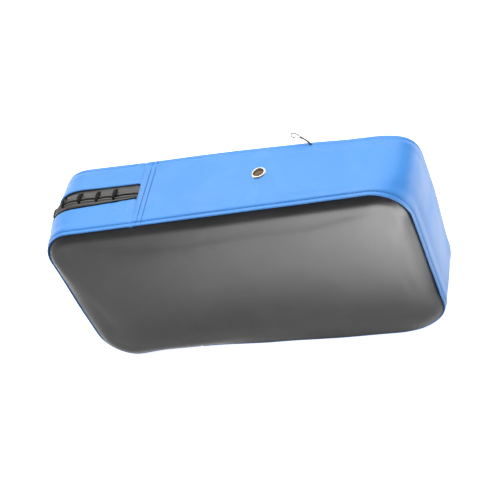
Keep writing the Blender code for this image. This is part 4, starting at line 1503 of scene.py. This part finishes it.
class PAD_OT_cushion(bpy.types.Operator):
    """Forearm cushion with its sewn flange"""

    bl_idname = "pad.cushion"
    bl_label = "Forearm Cushion"

    def execute(self, context):
        low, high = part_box("forearm_cushion")
        middle = (low + high) / 2
        middle_u = back_u(middle.x)
        length = (high.x - low.x) / ALONG.x - 0.0008
        sewn = 0.0030
        outline = RoundedRect(length, high.z - low.z, 0.022)
        rings = (0.0, 0.0007, 0.0020, 0.0034, 0.0048, 0.0058, 0.0070, 0.0086, 0.0106, 0.0132)
        a, b, faces, _ = outline.patch(0.0045, rings)
        inset = outline.inside(a, b)
        height = straps().cushion_height - 0.0012
        puff = 1 - (1 - np.clip((inset - 0.0055) / 0.022, 0, 1)) ** 2.3
        flange = 0.0014 - 0.0005 * hump(inset, sewn, 0.0008)
        channels = np.zeros(len(a))
        for spot in (-0.034, 0.034):
            channels += hump(a, spot, 0.0022) * smooth(inset, 0.006, 0.014)
        v = GAP + flange + (height - 0.0016) * puff * (1 - 0.28 * channels)
        points = back_points(a + middle_u, b, v)
        mesh = new_mesh("cushion", points, [face[::-1] for face in faces])
        item = place("forearm_cushion_cover", mesh, FINISHES["black_leather"])
        held = (inset < 0.0062) | ((channels > 0.8) & (inset > 0.006))
        inflate(item, held, pressure=4.0, cap=0.0018)
        subdivide(item)
        close_under(item, GAP)
        attach(item, ["forearm_cushion"])
        ways = np.linspace(-outline.half_loop, outline.half_loop, 241)
        ring_a, ring_b, _, _ = outline.point(ways, sewn)
        line = back_points(ring_a + middle_u, ring_b, GAP + 0.0010)
        seam = stitches("forearm_cushion_stitches", line, all_outward(len(line)),
                        FINISHES["black_thread"])
        attach(seam)
        return {"FINISHED"}


# ---------------------------------------------------------------- straps

def tab_mid():
    """Height of the middle of an anchored strap end over the back."""
    return GAP + straps().leather / 2


def arch_point(w, offset):
    """Place (out, up) on a closed strap's arch, moved outwards by offset."""
    size = straps()
    angle = math.pi * w / (2 * size.arch_half)
    out = tab_mid() + size.arch_height * math.cos(angle)
    slope = -size.arch_height * math.pi / (2 * size.arch_half) * math.sin(angle)
    reach = math.hypot(1.0, slope)
    return out + offset / reach, w - offset * slope / reach


def layer_offset(layer):
    """Offset of a layer over the lower half: loop tape, hook tape or flap."""
    size = straps()
    loop = size.leather / 2 + GAP + size.tape / 2
    hook = loop + size.tape + GAP
    flap = hook + size.tape / 2 + GAP + size.leather / 2
    return {"loop": loop, "hook": hook, "flap": flap}[layer]


def flap_offset(w):
    """Offset of the flap from the arch: none at its fold, full where it lies on the tapes."""
    span = straps().arch_half
    return layer_offset("flap") * float(smooth(span - w, 0.0, span - 0.016))


def strip(name, line, u, width, thickness, finish, tips=(0.0, 0.0)):
    """Leather or tape strip across the pad at u, from (out, up) places.

    tips are the corner radii at its two ends.
    """
    fine = even_line([(out, up, 0.0) for out, up in line], 0.0022)
    fine = soften(fine, 2)
    run = run_of(fine)
    extra = [0.0004, 0.0011]
    for tip in tips:
        extra += [tip * share for share in (0.04, 0.12, 0.3, 0.55)]
    stations = sorted(set(np.round(list(run) + extra + [run[-1] - value for value in extra], 6)))
    stations = [value for value in stations if 0.0 <= value <= run[-1]]
    points = pick(stations, run, fine)
    spots = back_points(np.full(len(points), u), points[:, 1], points[:, 0])
    along = directions(spots)
    outs = np.cross(along, np.array(ALONG))
    outs *= np.where(outs @ np.array(OUTWARD) < 0, -1.0, 1.0)[:, None]
    if name.endswith("_flap") and outs[0] @ np.array(OUTWARD) < 0.2:
        outs = -outs
    stations = np.array(stations)
    wide = np.full(len(stations), width / 2)
    for tip, far in zip(tips, (stations, run[-1] - stations)):
        if tip:
            drop = np.clip(tip - far, 0.0, tip)
            wide = np.minimum(wide, width / 2 - tip + np.sqrt(np.maximum(tip ** 2 - drop ** 2, 0)))
    ends = np.minimum(stations, run[-1] - stations)
    high = thickness / 2 * (0.62 + 0.38 * np.sqrt(np.clip(ends / 0.0012, 0, 1)))
    flat, faces = capped(strap_section(spots, outs, wide, high))
    return place(name, weld(new_mesh(name, flat, faces)), finish), spots, outs


def strap_section(spots, outs, wide, high):
    """Sections of a strip: flat faces, a pressed line beside each edge and rounded edges."""
    along = directions(spots)
    across = np.cross(outs, along)
    across /= np.linalg.norm(across, axis=1)[:, None]
    outs = np.cross(along, across)
    edge = (0.0, 0.00035, 0.0010, 0.0022, 0.0033, 0.0040, 0.0047, 0.0060)
    rise = (0.10, 0.66, 0.95, 1.0, 0.93, 0.80, 0.93, 1.0)
    half = [(-1.0, k) for k in range(len(edge))] + [(-0.33, None), (0.33, None)]
    half += [(1.0, k) for k in range(len(edge) - 1, -1, -1)]
    points = []
    for top in (1.0, -1.0):
        for side, k in (half if top > 0 else half[::-1]):
            if k is None:
                c, h = side * (wide - 0.006), high * top
            else:
                c, h = side * (wide - edge[k]), high * top * rise[k]
            points.append(spots + across * c[:, None] + outs * h[:, None])
    return np.stack(points, 1)


def edge_stitches(name, spots, outs, half_width, off, trim, rise):
    """Two stitch rows along a strip, a little in from each edge."""
    rows = []
    along = directions(spots)
    across = np.cross(outs, along)
    across /= np.linalg.norm(across, axis=1)[:, None]
    for side in (-1.0, 1.0):
        line = (spots + outs * off + across * side * half_width)[trim:-trim]
        rows.append(stitches(name, line, outs[trim:-trim], FINISHES["black_thread"], rise=rise))
    return join(rows, name)


def join(parts, name):
    """One object from several of the same finish."""
    first = parts[0]
    joined = bmesh.new()
    for part in parts:
        joined.from_mesh(part.data)
    joined.to_mesh(first.data)
    joined.free()
    first.data.shade_smooth()
    for part in parts[1:]:
        bpy.data.objects.remove(part, do_unlink=True)
    first.name = name
    return first


class PAD_OT_straps(bpy.types.Operator):
    """Two forearm straps: fixed lower halves, folding flaps, tapes and anchor patches"""

    bl_idname = "pad.straps"
    bl_label = "Forearm Straps"

    def execute(self, context):
        for strap in ("wrist_strap", "elbow_strap"):
            hinge = Vector(HINGES[strap + "_open"]["pos_m"])
            u = (hinge - BACK_MIDDLE).dot(ALONG)
            self.lower_half(strap, u)
            self.flap(strap, u, hinge)
            for side, label in ((1.0, "upper"), (-1.0, "lower")):
                self.patch(strap, label, side, u)
        return {"FINISHED"}

    def lower_half(self, strap, u):
        """Fixed half with its loop tape."""
        size = straps()
        arch = [arch_point(w, 0.0) for w in np.linspace(-size.arch_half, size.lower_end, 40)]
        line = [(tab_mid(), -size.tab_end)] + arch
        item, spots, outs = strip(strap + "_lower_half", line, u, size.width, size.leather,
                                  FINISHES["black_leather"], (0.003, 0.010))
        attach(item, [strap + "_lower"])
        seam = edge_stitches(strap + "_lower_stitches", spots[10:], outs[10:],
                             size.width / 2 - 0.004, -size.leather / 2 * 0.85, trim=3, rise=-0.2)
        attach(seam)
        ways = np.linspace(-size.flap_end + 0.002, size.lower_end - 0.003, 30)
        loop = [arch_point(w, layer_offset("loop")) for w in ways]
        item, _, _ = strip(strap + "_loop_pile", loop, u, size.width - 0.005, size.tape,
                           FINISHES["loop_tape"])
        attach(item, [strap + "_loop_tape"])

    def flap(self, strap, u, hinge):
        """Folding half: one strip from the anchor to the tip, bent at the fold."""
        size = straps()
        body = strap + "_flap_body"
        steps = np.linspace(size.arch_half - 0.0005, -size.flap_end, 60)
        line = [(tab_mid(), size.tab_end), (tab_mid(), size.arch_half + 0.0005)]
        line += [arch_point(w, flap_offset(w)) for w in steps]
        item, spots, outs = strip(strap + "_folding_flap", line, u, size.width, size.leather,
                                  FINISHES["black_leather"], (0.003, 0.012))
        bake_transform(item)
        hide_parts(strap + "_root", strap + "_flap")
        free = np.nonzero(spots[:, 2] < hinge.z - 0.012)[0][0]
        seam = edge_stitches(strap + "_flap_stitches", spots[free:], outs[free:],
                             size.width / 2 - 0.004, size.leather / 2 * 0.85, trim=4, rise=0.3)
        attach(seam, body=body)
        ways = np.linspace(size.lower_end - 0.010, -size.flap_end + 0.003, 26)
        hook = [arch_point(w, layer_offset("hook")) for w in ways]
        tape, _, _ = strip(strap + "_hook_strip", hook, u, size.width - 0.005, size.tape,
                           FINISHES["hook_tape"])
        attach(tape, [strap + "_hook_tape"], body)

    def patch(self, strap, label, side, u):
        """Leather patch sewn and riveted over an anchored strap end."""
        size = straps()
        low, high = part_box(f"{strap}_patch_{label}")
        middle_w = (low.z + high.z) / 2 - WIDTH / 2
        outline = RoundedRect(size.width + 0.006, high.z - low.z, 0.003)
        base = GAP + size.leather + GAP
        name = f"{strap}_anchor_{label}"
        plate(name, outline, u, middle_w, base, size.patch, [f"{strap}_patch_{label}"])


def plate(name, outline, u, w, base, thickness, nodes, stitch=0.0024):
    """Flat leather plate with softened edges and a stitched border."""
    def top(a, b, inset):
        round_off = 0.6 * thickness * (1 - np.sqrt(np.clip(inset / 0.0009, 0, 1)))
        groove = 0.00028 * hump(inset, stitch, 0.0006)
        return back_points(a + u, b + w, base + thickness - round_off - groove)

    def under(a, b, inset):
        return back_points(a + u, b + w, np.full(len(a), base))

    rings = (0.0, 0.0001, 0.0004, 0.0009, 0.0014, 0.0019, 0.0024, 0.0029)
    mesh = new_mesh(name, *slab(outline, 0.0025, rings, top, under, flip=True))
    attach(place(name, mesh, FINISHES["black_leather"]), nodes)
    ways = np.linspace(-outline.half_loop, outline.half_loop, 81)
    a, b, _, _ = outline.point(ways, stitch)
    line = back_points(a + u, b + w, base + thickness - 0.0002)
    seam = stitches(name + "_stitches", line, all_outward(len(line)), FINISHES["black_thread"],
                    pitch=0.0033, length=0.0025, radius=0.00036)
    attach(seam)


# ---------------------------------------------------------------- grip and rivets

def grip_line(start, end, step=0.002):
    """Even places along the grip's arch between two angles in degrees."""
    size = grip()
    base = GAP + size.tab + GAP + size.leg
    angles = np.radians(np.linspace(start, end, 90))
    out, up = base + size.rise * np.sin(angles), size.half * np.cos(angles)
    line = even_line(np.stack([out, up, np.zeros_like(up)], 1), step)
    return back_points(np.full(len(line), grip_u()), line[:, 1], line[:, 0])


def grip_u():
    """Distance along the back of the grip, from its upper tab."""
    low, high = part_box("handle_tab_upper")
    return ((low + high) / 2 - BACK_MIDDLE).dot(ALONG)


def sideways(line):
    """Directions square to the grip's line, in its own plane."""
    along = directions(line)
    outs = np.cross(np.array(ALONG), along)
    outs *= np.where(outs @ np.array(OUTWARD) < 0, -1.0, 1.0)[:, None]
    return outs


class PAD_OT_grip(bpy.types.Operator):
    """Hand grip: twisted rope core, laced leather sleeve, end windings and riveted tabs"""

    bl_idname = "pad.grip"
    bl_label = "Hand Grip"

    def execute(self, context):
        self.core()
        self.sleeve()
        size = grip()
        for side, label in ((1.0, "upper"), (-1.0, "lower")):
            low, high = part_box("handle_tab_" + label)
            middle_w = (low.z + high.z) / 2 - WIDTH / 2
            length = (high.x - low.x) / ALONG.x - 0.0001
            outline = RoundedRect(length, high.z - low.z, 0.006)
            plate("grip_tab_" + label, outline, grip_u(), middle_w, GAP, size.tab,
                  ["handle_tab_" + label], stitch=0.0030)
            self.collar(label, side)
        return {"FINISHED"}

    def core(self):
        """Three strands twisted round each other along the whole grip."""
        size = grip()
        step, twist = 0.0018, 0.042
        feet = back_points(np.full(2, grip_u()), np.array([size.half, -size.half]),
                           GAP + size.tab + GAP)
        line = even_line(np.concatenate([feet[:1], grip_line(0, 180, step), feet[1:]]), step)
        along = directions(line)
        outs = np.cross(np.array(ALONG), along)
        run = np.arange(len(line)) * step
        points, faces = [], []
        for strand in range(3):
            angle = run * 2 * math.pi / twist + strand * 2 * math.pi / 3
            off = outs * np.cos(angle)[:, None] + np.array(ALONG) * np.sin(angle)[:, None]
            middle = line + off * size.core * 0.47
            half = size.core * 0.51
            gather(points, faces, capped(bar(middle, off, half, half, power=1.0)))
        item = place("grip_rope_core", weld(new_mesh("core", points, faces)), FINISHES["rope"])
        attach(item, ["handle_core"])

    def sleeve(self):
        """Leather sleeve with a sewn ridge on its inner side and a winding at each end."""
        size = grip()
        line = grip_line(35, 145, 0.0017)
        along = directions(line)
        outs = sideways(line)
        sides = 40
        points, bore = np.zeros((len(line), sides, 3)), np.zeros((len(line), sides, 3))
        share = np.linspace(0.0, 1.0, len(line))
        squeeze = 1 - 0.05 * (hump(share, 0.035, 0.016) + hump(share, 0.965, 0.016))
        fullness = 1 + 0.035 * np.sin(np.pi * share)
        lumps = flat_noise(share * 60.0, np.full(len(share), 3.0), 1.0, 1)
        ripple = 0.00025 * np.sin(lumps * 5)
        for j in range(sides):
            angle = 2 * math.pi * j / sides
            ridge = 0.0009 * hump(angle, math.pi, 0.16)
            dent = 0.0005 * hump(abs(angle - math.pi), 0.30, 0.09)
            reach = size.sleeve * squeeze * fullness + ridge - dent + ripple
            ray = outs * math.cos(angle) + np.array(ALONG) * math.sin(angle)
            points[:, j] = line + ray * reach[:, None]
            bore[:, j] = line + ray * (size.core + 0.0008)
        shell = np.concatenate([bore[:1] * 0.5 + points[:1] * 0.5, points,
                                bore[-1:] * 0.5 + points[-1:] * 0.5, bore[::-1]])
        shell = np.concatenate([shell, shell[:1]])
        flat, faces = grid(shell, wrap=True)
        mesh = weld(new_mesh("sleeve", flat, faces))
        item = place("grip_leather_sleeve", mesh, FINISHES["black_leather"])
        attach(item, ["handle_grip"])
        rows = []
        for turn in (-0.42, 0.42):
            ray = -outs * math.cos(turn) + np.array(ALONG) * math.sin(turn)
            rows.append(stitches("row", line[4:-4] + ray[4:-4] * (size.sleeve * 1.02), ray[4:-4],
                                 FINISHES["black_thread"],
                                 pitch=0.0040, length=0.0030, radius=0.00045))
        attach(join(rows, "grip_sleeve_stitches"))
        self.winding("upper", line[:8], outs[:8])
        self.winding("lower", line[-8:][::-1], outs[-8:][::-1])

    def winding(self, label, line, outs):
        """Waxed cord wound round an end of the sleeve."""
        size = grip()
        turns, steps = 5, 40
        run = np.linspace(0.15, 0.85, turns * steps + 1) * (len(line) - 1)
        base, out = pick(run, range(len(line)), line), pick(run, range(len(line)), outs)
        angle = np.arange(len(run)) * 2 * math.pi / steps
        ray = out * np.cos(angle)[:, None] + np.array(ALONG) * np.sin(angle)[:, None]
        reach = np.full(len(run), size.sleeve + 0.0004)
        reach[:4] -= np.linspace(0.0012, 0.0, 4)
        reach[-4:] -= np.linspace(0.0, 0.0012, 4)
        cord = bar(base + ray * reach[:, None], ray, 0.00085, 0.00075, corners=8, power=1.0)
        item = place("grip_winding_" + label, weld(new_mesh("winding", *capped(cord))),
                     FINISHES["lace"])
        attach(item)

    def collar(self, label, side):
        """Leather washer where the rope goes into its tab."""
        size = grip()
        at = on_back(grip_u(), GAP + size.tab, side * size.half)
        core = size.core
        profile = [(core * 0.9, 0.0), (core + 0.0028, 0.0), (core + 0.0031, 0.0005),
                   (core + 0.0028, 0.0012), (core + 0.0016, 0.0017), (core + 0.0006, 0.0016),
                   (core * 0.98, 0.0011)]
        mesh = weld(new_mesh("collar", *lathe(profile, 48, OUTWARD, at)))
        attach(place("grip_collar_" + label, mesh, FINISHES["black_leather"]))


RIVET_PROFILE = (
    (0.0, 1.0), (0.12, 0.99), (0.3, 0.95), (0.48, 0.87), (0.62, 0.75), (0.74, 0.60),
    (0.80, 0.50), (0.83, 0.42), (0.86, 0.44), (0.90, 0.46), (0.95, 0.38), (0.99, 0.2),
    (1.0, 0.05), (0.97, 0.0), (0.42, 0.0), (0.40, -1.0), (0.0, -1.0),
)


class PAD_OT_rivets(bpy.types.Operator):
    """Nickel rivets of the strap anchors and of the grip's tabs"""

    bl_idname = "pad.rivets"
    bl_label = "Rivets"

    def execute(self, context):
        size = grip()
        nodes = sorted(name for name in frame["nodes"] if "_rivet_" in name)
        for node in nodes:
            low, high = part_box(node)
            x, z = (low.x + high.x) / 2, (low.z + high.z) / 2
            seat = Vector((x, high.y - size.rivet_height * ALONG.x, z))
            shank = (high.y - low.y) / ALONG.x - size.rivet_height
            profile = [(radius * size.rivet, height * (size.rivet_height if height > 0 else shank))
                       for radius, height in RIVET_PROFILE]
            mesh = weld(new_mesh(node, *lathe(profile, 32, OUTWARD, seat)))
            attach(place("cap_" + node, mesh, FINISHES["nickel"]), [node])
        return {"FINISHED"}


# ---------------------------------------------------------------- vent, stitching and thread

EYELET_PROFILE = (
    (0.0056, -0.0036), (0.0056, 0.0002), (0.0057, 0.0007), (0.0061, 0.00115), (0.0066, 0.00125),
    (0.0071, 0.00105), (0.00755, 0.00065), (0.0079, 0.00025), (0.0080, -0.00005),
    (0.0078, -0.0003), (0.0062, -0.0003), (0.0061, -0.0005), (0.0061, -0.0036),
)


class PAD_OT_vent(bpy.types.Operator):
    """Breather eyelet in the upper wall, with woven gauze in its bore"""

    bl_idname = "pad.vent"
    bl_label = "Vent"

    def execute(self, context):
        outline = pad_outline()
        way = outline.end_run + outline.arc_run + vent_middle().x + LENGTH / 2 - outline.radius
        spot, _ = wall_row([way], vent_middle().y - FRONT_Y, 0.0002)
        at = Vector(spot[0])
        mesh = weld(new_mesh("eyelet", *lathe(EYELET_PROFILE, 64, UP, at)), FINE_WELD)
        attach(place("vent_rolled_eyelet", mesh, FINISHES["nickel"]), ["vent_eyelet"])
        points, faces = [], []
        radius, pitch, wire, skew = 0.0055, 0.00078, 0.00022, 0.45
        for turn in (0, 1):
            count = int(radius / pitch)
            for k in range(-count, count + 1):
                half = math.sqrt(max(0.0, radius ** 2 - (k * pitch) ** 2))
                if half < 0.0008:
                    continue
                t = np.linspace(-half, half, max(6, int(half / 0.00016)))
                lift = wire * np.cos(math.pi * (t / pitch + k + turn))
                across = np.full(len(t), k * pitch)
                pair = (t, across) if turn == 0 else (across, t)
                x = pair[0] * math.cos(skew) - pair[1] * math.sin(skew)
                y = pair[0] * math.sin(skew) + pair[1] * math.cos(skew)
                line = np.stack([at.x + x, at.y + y, at.z - 0.0012 + lift], 1)
                tube = bar(line, np.tile([0.0, 0.0, 1.0], (len(t), 1)), wire, wire,
                           corners=6, power=1.0)
                gather(points, faces, capped(tube))
        mesh = new_mesh("gauze", points, faces)
        attach(place("vent_woven_gauze", mesh, FINISHES["gauze"]), ["vent_screen"])
        return {"FINISHED"}


class PAD_OT_stitching(bpy.types.Operator):
    """Stitch rows of the front rim and of the two seams, and a near-black strip on the slot's front
    edge that paints the shadow of its gap
    """

    bl_idname = "pad.stitching"
    bl_label = "Stitching"

    def execute(self, context):
        size = casing()
        outline = pad_outline()
        seam = seam_way()
        blue = FINISHES["blue_thread"]
        around = np.linspace(seam + 0.004, 2 * outline.half_loop - seam - 0.004, 520)
        near = np.linspace(-seam + 0.001, seam - 0.001, 300)
        for label, ways in (("side", around), ("laced", near)):
            line, outs = wall_row(ways, size.rim_stitch, -0.00052)
            item = stitches(f"front_rim_stitches_{label}", line, outs, blue,
                            pitch=0.0040, length=0.0034, radius=0.00032)
            attach(item)
        for sign, place_name in ((1.0, "upper"), (-1.0, "lower")):
            rows = []
            for row in (size.row_one, size.row_two):
                depth = depth_at(SEAM_X)
                behind = np.linspace(0.0012, depth - 0.0010, 60)
                ways = sign * (seam + row + 0.0008 - 0.032 * behind)
                rise = np.interp(behind, OUTER_ROLL[:, 0], OUTER_ROLL[:, 1])
                rise += 0.0007 * (1.0 - smooth(-behind, -depth, 0.011 - depth))
                line, outs = wall_row(ways, behind, 0.00008 + rise)
                if sign < 0:
                    line[:, 2] = np.maximum(line[:, 2], 0.0002)
                rows.append(stitches("row", line, outs, blue,
                                     pitch=0.0034, length=0.0029, radius=0.00030))
            attach(join(rows, f"seam_stitches_{place_name}"))
        self.slot_shadow_strip(seam)
        return {"FINISHED"}

    def slot_shadow_strip(self, seam):
        """Thin near-black strip along the front edge of the slot: a painted shadow of the gap under
        the wall's edge.
        """
        _, _, front_slot, _ = strip_edges(seam)
        ways = np.linspace(-seam + 0.0012, seam - 0.0012, 420)
        line, outs = wall_row(ways, front_slot(ways) + 0.0009, -0.0003)
        # near-black bar on the slot's front edge: painted shadow of the gap under the wall
        shadow_strip = bar(line, outs, 0.00095, 0.0006, corners=8, power=0.8)
        mesh = weld(new_mesh("shadow_strip", *capped(shadow_strip)), FINE_WELD)
        attach(place("slot_shadow_strip", mesh, FINISHES["painted_slot_shadow"]))


class PAD_OT_thread(bpy.types.Operator):
    """Short loop of loose thread at the upper back edge"""

    bl_idname = "pad.thread"
    bl_label = "Loose Thread"

    def execute(self, context):
        top, radius = WIDTH, 0.00058
        back = FRONT_Y + depth_at(0.09)
        route = [
            (0.0976, back - 0.0048, top - 0.0012), (0.0958, back - 0.0034, top + 0.0012),
            (0.0924, back - 0.0016, top + 0.0044), (0.0888, back - 0.0004, top + 0.0072),
            (0.0862, back + 0.0000, top + 0.0098), (0.0838, back + 0.0002, top + 0.0134),
            (0.0810, back + 0.0002, top + 0.0150), (0.0784, back + 0.0000, top + 0.0146),
            (0.0776, back - 0.0004, top + 0.0122), (0.0794, back - 0.0008, top + 0.0098),
            (0.0828, back - 0.0008, top + 0.0084), (0.0864, back - 0.0006, top + 0.0082),
            (0.0890, back - 0.0010, top + 0.0068), (0.0924, back - 0.0022, top + 0.0040),
            (0.0946, back - 0.0038, top + 0.0012), (0.0960, back - 0.0052, top - 0.0010),
        ]
        line = soften(even_line(route, 0.0005), 12)
        outs = np.tile([0.3, 0.6, 0.75], (len(line), 1))
        cord = bar(line, outs, radius, radius, corners=8, power=1.0)
        item = place("loose_thread_loop", weld(new_mesh("loop", *capped(cord)), FINE_WELD),
                     FINISHES["loose_thread"])
        attach(item)
        return {"FINISHED"}


# ---------------------------------------------------------------- studio

LENS = 86.63
SENSOR = 36.0
CAMERA_PLACE = Vector((0.471, -0.8535, 0.9455))
CAMERA_TURN = (45.869, 19.866, 10.667)
# soft lights: place, point aimed at, and sides
TOP_LIGHT = ((-0.1, 0.75, 1.5), (0, 0.1, 0.1), (2.0, 1.4))
FRONT_LIGHT = ((0.9, -2.2, 0.55), (0.05, 0, 0.1), (1.1, 0.9))
FLOOR_REACH, FLOOR_DROP = 6.0, 0.0002
FLOOR_GLOW = 0.8


class PAD_OT_stage(bpy.types.Operator):
    """Pale floor, soft lights and the camera"""

    bl_idname = "pad.stage"
    bl_label = "Studio"

    def execute(self, context):
        look = context.scene.pad_stage
        scene = context.scene
        camera = bpy.data.objects.new("camera", bpy.data.cameras.new("camera"))
        camera.data.lens, camera.data.sensor_width = LENS, SENSOR
        camera.data.clip_start, camera.data.clip_end = 0.01, 100.0
        camera.location = CAMERA_PLACE
        camera.rotation_euler = [math.radians(angle) for angle in CAMERA_TURN]
        scene.collection.objects.link(camera)
        scene.camera = camera
        scene.view_settings.view_transform = "Standard"
        self.surround(scene, look)
        self.floor(look)
        self.light("top_softbox", *TOP_LIGHT, look.top)
        self.light("front_softbox", *FRONT_LIGHT, look.front)
        return {"FINISHED"}

    def surround(self, scene, look):
        """White surround: even light, plain white to the camera, graded where it is mirrored."""
        world = bpy.data.worlds.new("studio")
        world.use_nodes = True
        tree = world.node_tree
        back = tree.nodes["Background"]
        path = add_node(tree, "ShaderNodeLightPath").outputs
        facing = add_node(tree, "ShaderNodeTexCoord").outputs["Generated"]
        aim = add_node(tree, "ShaderNodeSeparateXYZ", Vector=facing).outputs
        dark_front = between(tree, aim["Y"], -0.55, 0.0, 0.12, 1.0)
        bright_horizon = between(tree, aim["Z"], 0.05, 0.58, 2.0, 0.60)
        gloss = sums(tree, "MULTIPLY", dark_front, bright_horizon)
        level = add_node(tree, "ShaderNodeMix", {"data_type": "FLOAT"}, i0=path["Is Glossy Ray"],
                         i2=look.surround, i3=gloss).outputs[0]
        level = add_node(tree, "ShaderNodeMix", {"data_type": "FLOAT"}, i0=path["Is Camera Ray"],
                         i2=level, i3=1.0).outputs[0]
        back.inputs["Color"].default_value = (0.985, 0.985, 0.99, 1.0)
        tree.links.new(level, back.inputs["Strength"])
        scene.world = world

    def floor(self, look):
        """Large pale floor with a faint soft shadow.

        Where it is mirrored, it is dim at the pad's foot and bright in a pool before the face and
        in a band beyond the far end.
        """
        signs = ((-1, -1), (1, -1), (1, 1), (-1, 1))
        corners = [(FLOOR_REACH * x, FLOOR_REACH * y, 0) for x, y in signs]
        mesh = new_mesh("floor", corners, [(0, 1, 2, 3)])
        mesh.transform(Matrix.Translation((0, 0, -FLOOR_DROP)))
        made = bpy.data.materials.new("studio_floor")
        made.use_nodes = True
        tree = made.node_tree
        shader = tree.nodes["Principled BSDF"]
        coords = add_node(tree, "ShaderNodeTexCoord").outputs["Object"]
        patchy = add_node(tree, "ShaderNodeTexNoise", Vector=coords, Scale=3.0, Detail=3.0)
        path = add_node(tree, "ShaderNodeLightPath").outputs
        tone = tint(tree, patchy.outputs["Fac"], scaled(look.floor, 0.99), scaled(look.floor, 1.01))
        tone = tint(tree, path["Is Diffuse Ray"], tone, (0.36, 0.36, 0.37, 1.0))
        tree.links.new(tone, shader.inputs["Base Color"])
        shader.inputs["Roughness"].default_value = 0.9
        shader.inputs["Emission Color"].default_value = (1.0, 1.0, 1.0, 1.0)
        made.cycles.emission_sampling = "NONE"
        parts = add_node(tree, "ShaderNodeSeparateXYZ", Vector=coords).outputs
        across = sums(tree, "ADD", between(tree, parts["X"], -0.25, 0.0, 0.0, 0.4),
                      between(tree, parts["X"], -0.02, 0.20, 0.0, 0.6))
        near = sums(tree, "MULTIPLY", between(tree, parts["Y"], -0.095, -0.20), across)
        dim_foot = between(tree, parts["Y"], -0.088, -0.050, 0.24, 0.98)
        far_band = between(tree, parts["X"], 0.30, 0.60, 0.0, 2.4)
        pool = sums(tree, "MULTIPLY_ADD", near, look.pool, dim_foot)
        pool = sums(tree, "ADD", pool, far_band)
        glow = sums(tree, "MULTIPLY", path["Is Camera Ray"], FLOOR_GLOW)
        glow = sums(tree, "MULTIPLY_ADD", path["Is Glossy Ray"], pool, glow)
        tree.links.new(glow, shader.inputs["Emission Strength"])
        mesh.materials.append(made)
        floor = bpy.data.objects.new("floor", mesh)
        bpy.context.scene.collection.objects.link(floor)

    def light(self, name, at, to, size, power):
        """Rectangular soft light aimed at a point."""
        data = bpy.data.lights.new(name, "AREA")
        data.shape = "RECTANGLE"
        data.size, data.size_y = size
        data.energy = power
        lamp = bpy.data.objects.new(name, data)
        lamp.location = at
        lamp.rotation_euler = (Vector(to) - Vector(at)).to_track_quat("-Z", "Y").to_euler()
        bpy.context.scene.collection.objects.link(lamp)


# ---------------------------------------------------------------- panel and registration

SETTINGS = {
    "pad_casing": CasingSizes, "pad_lacing": LacingSizes, "pad_straps": StrapSizes,
    "pad_grip": GripSizes, "pad_colours": PadColours, "pad_stage": StageLook,
}
OPERATORS = (
    PAD_OT_stage, PAD_OT_walls, PAD_OT_facings, PAD_OT_lace, PAD_OT_face, PAD_OT_foam, PAD_OT_back,
    PAD_OT_cushion, PAD_OT_straps, PAD_OT_grip, PAD_OT_rivets, PAD_OT_vent, PAD_OT_stitching,
    PAD_OT_thread,
)


class PAD_PT_panel(bpy.types.Panel):
    """Sizes, colours and pieces of the thai pad"""

    bl_idname = "PAD_PT_panel"
    bl_label = "Thai Pad"
    bl_space_type = "VIEW_3D"
    bl_region_type = "UI"
    bl_category = "Thai Pad"

    def draw(self, context):
        for name, group in SETTINGS.items():
            box = self.layout.box()
            box.label(text=group.__doc__)
            for key in group.__annotations__:
                box.prop(getattr(context.scene, name), key)
        for operator in OPERATORS:
            self.layout.operator(operator.bl_idname)


def register():
    """Register the settings, operators and panel."""
    for name, group in SETTINGS.items():
        bpy.utils.register_class(group)
        setattr(bpy.types.Scene, name, bpy.props.PointerProperty(type=group))
    for made in OPERATORS + (PAD_PT_panel,):
        bpy.utils.register_class(made)


def unregister():
    """Undo register."""
    for made in (PAD_PT_panel,) + OPERATORS[::-1]:
        bpy.utils.unregister_class(made)
    for name, group in SETTINGS.items():
        delattr(bpy.types.Scene, name)
        bpy.utils.unregister_class(group)


def main():
    """Build the pad piece by piece."""
    register()
    make_finishes()
    for operator in OPERATORS:
        group, call = operator.bl_idname.split(".")
        getattr(getattr(bpy.ops, group), call)()


if __name__ == "__main__":
    main()
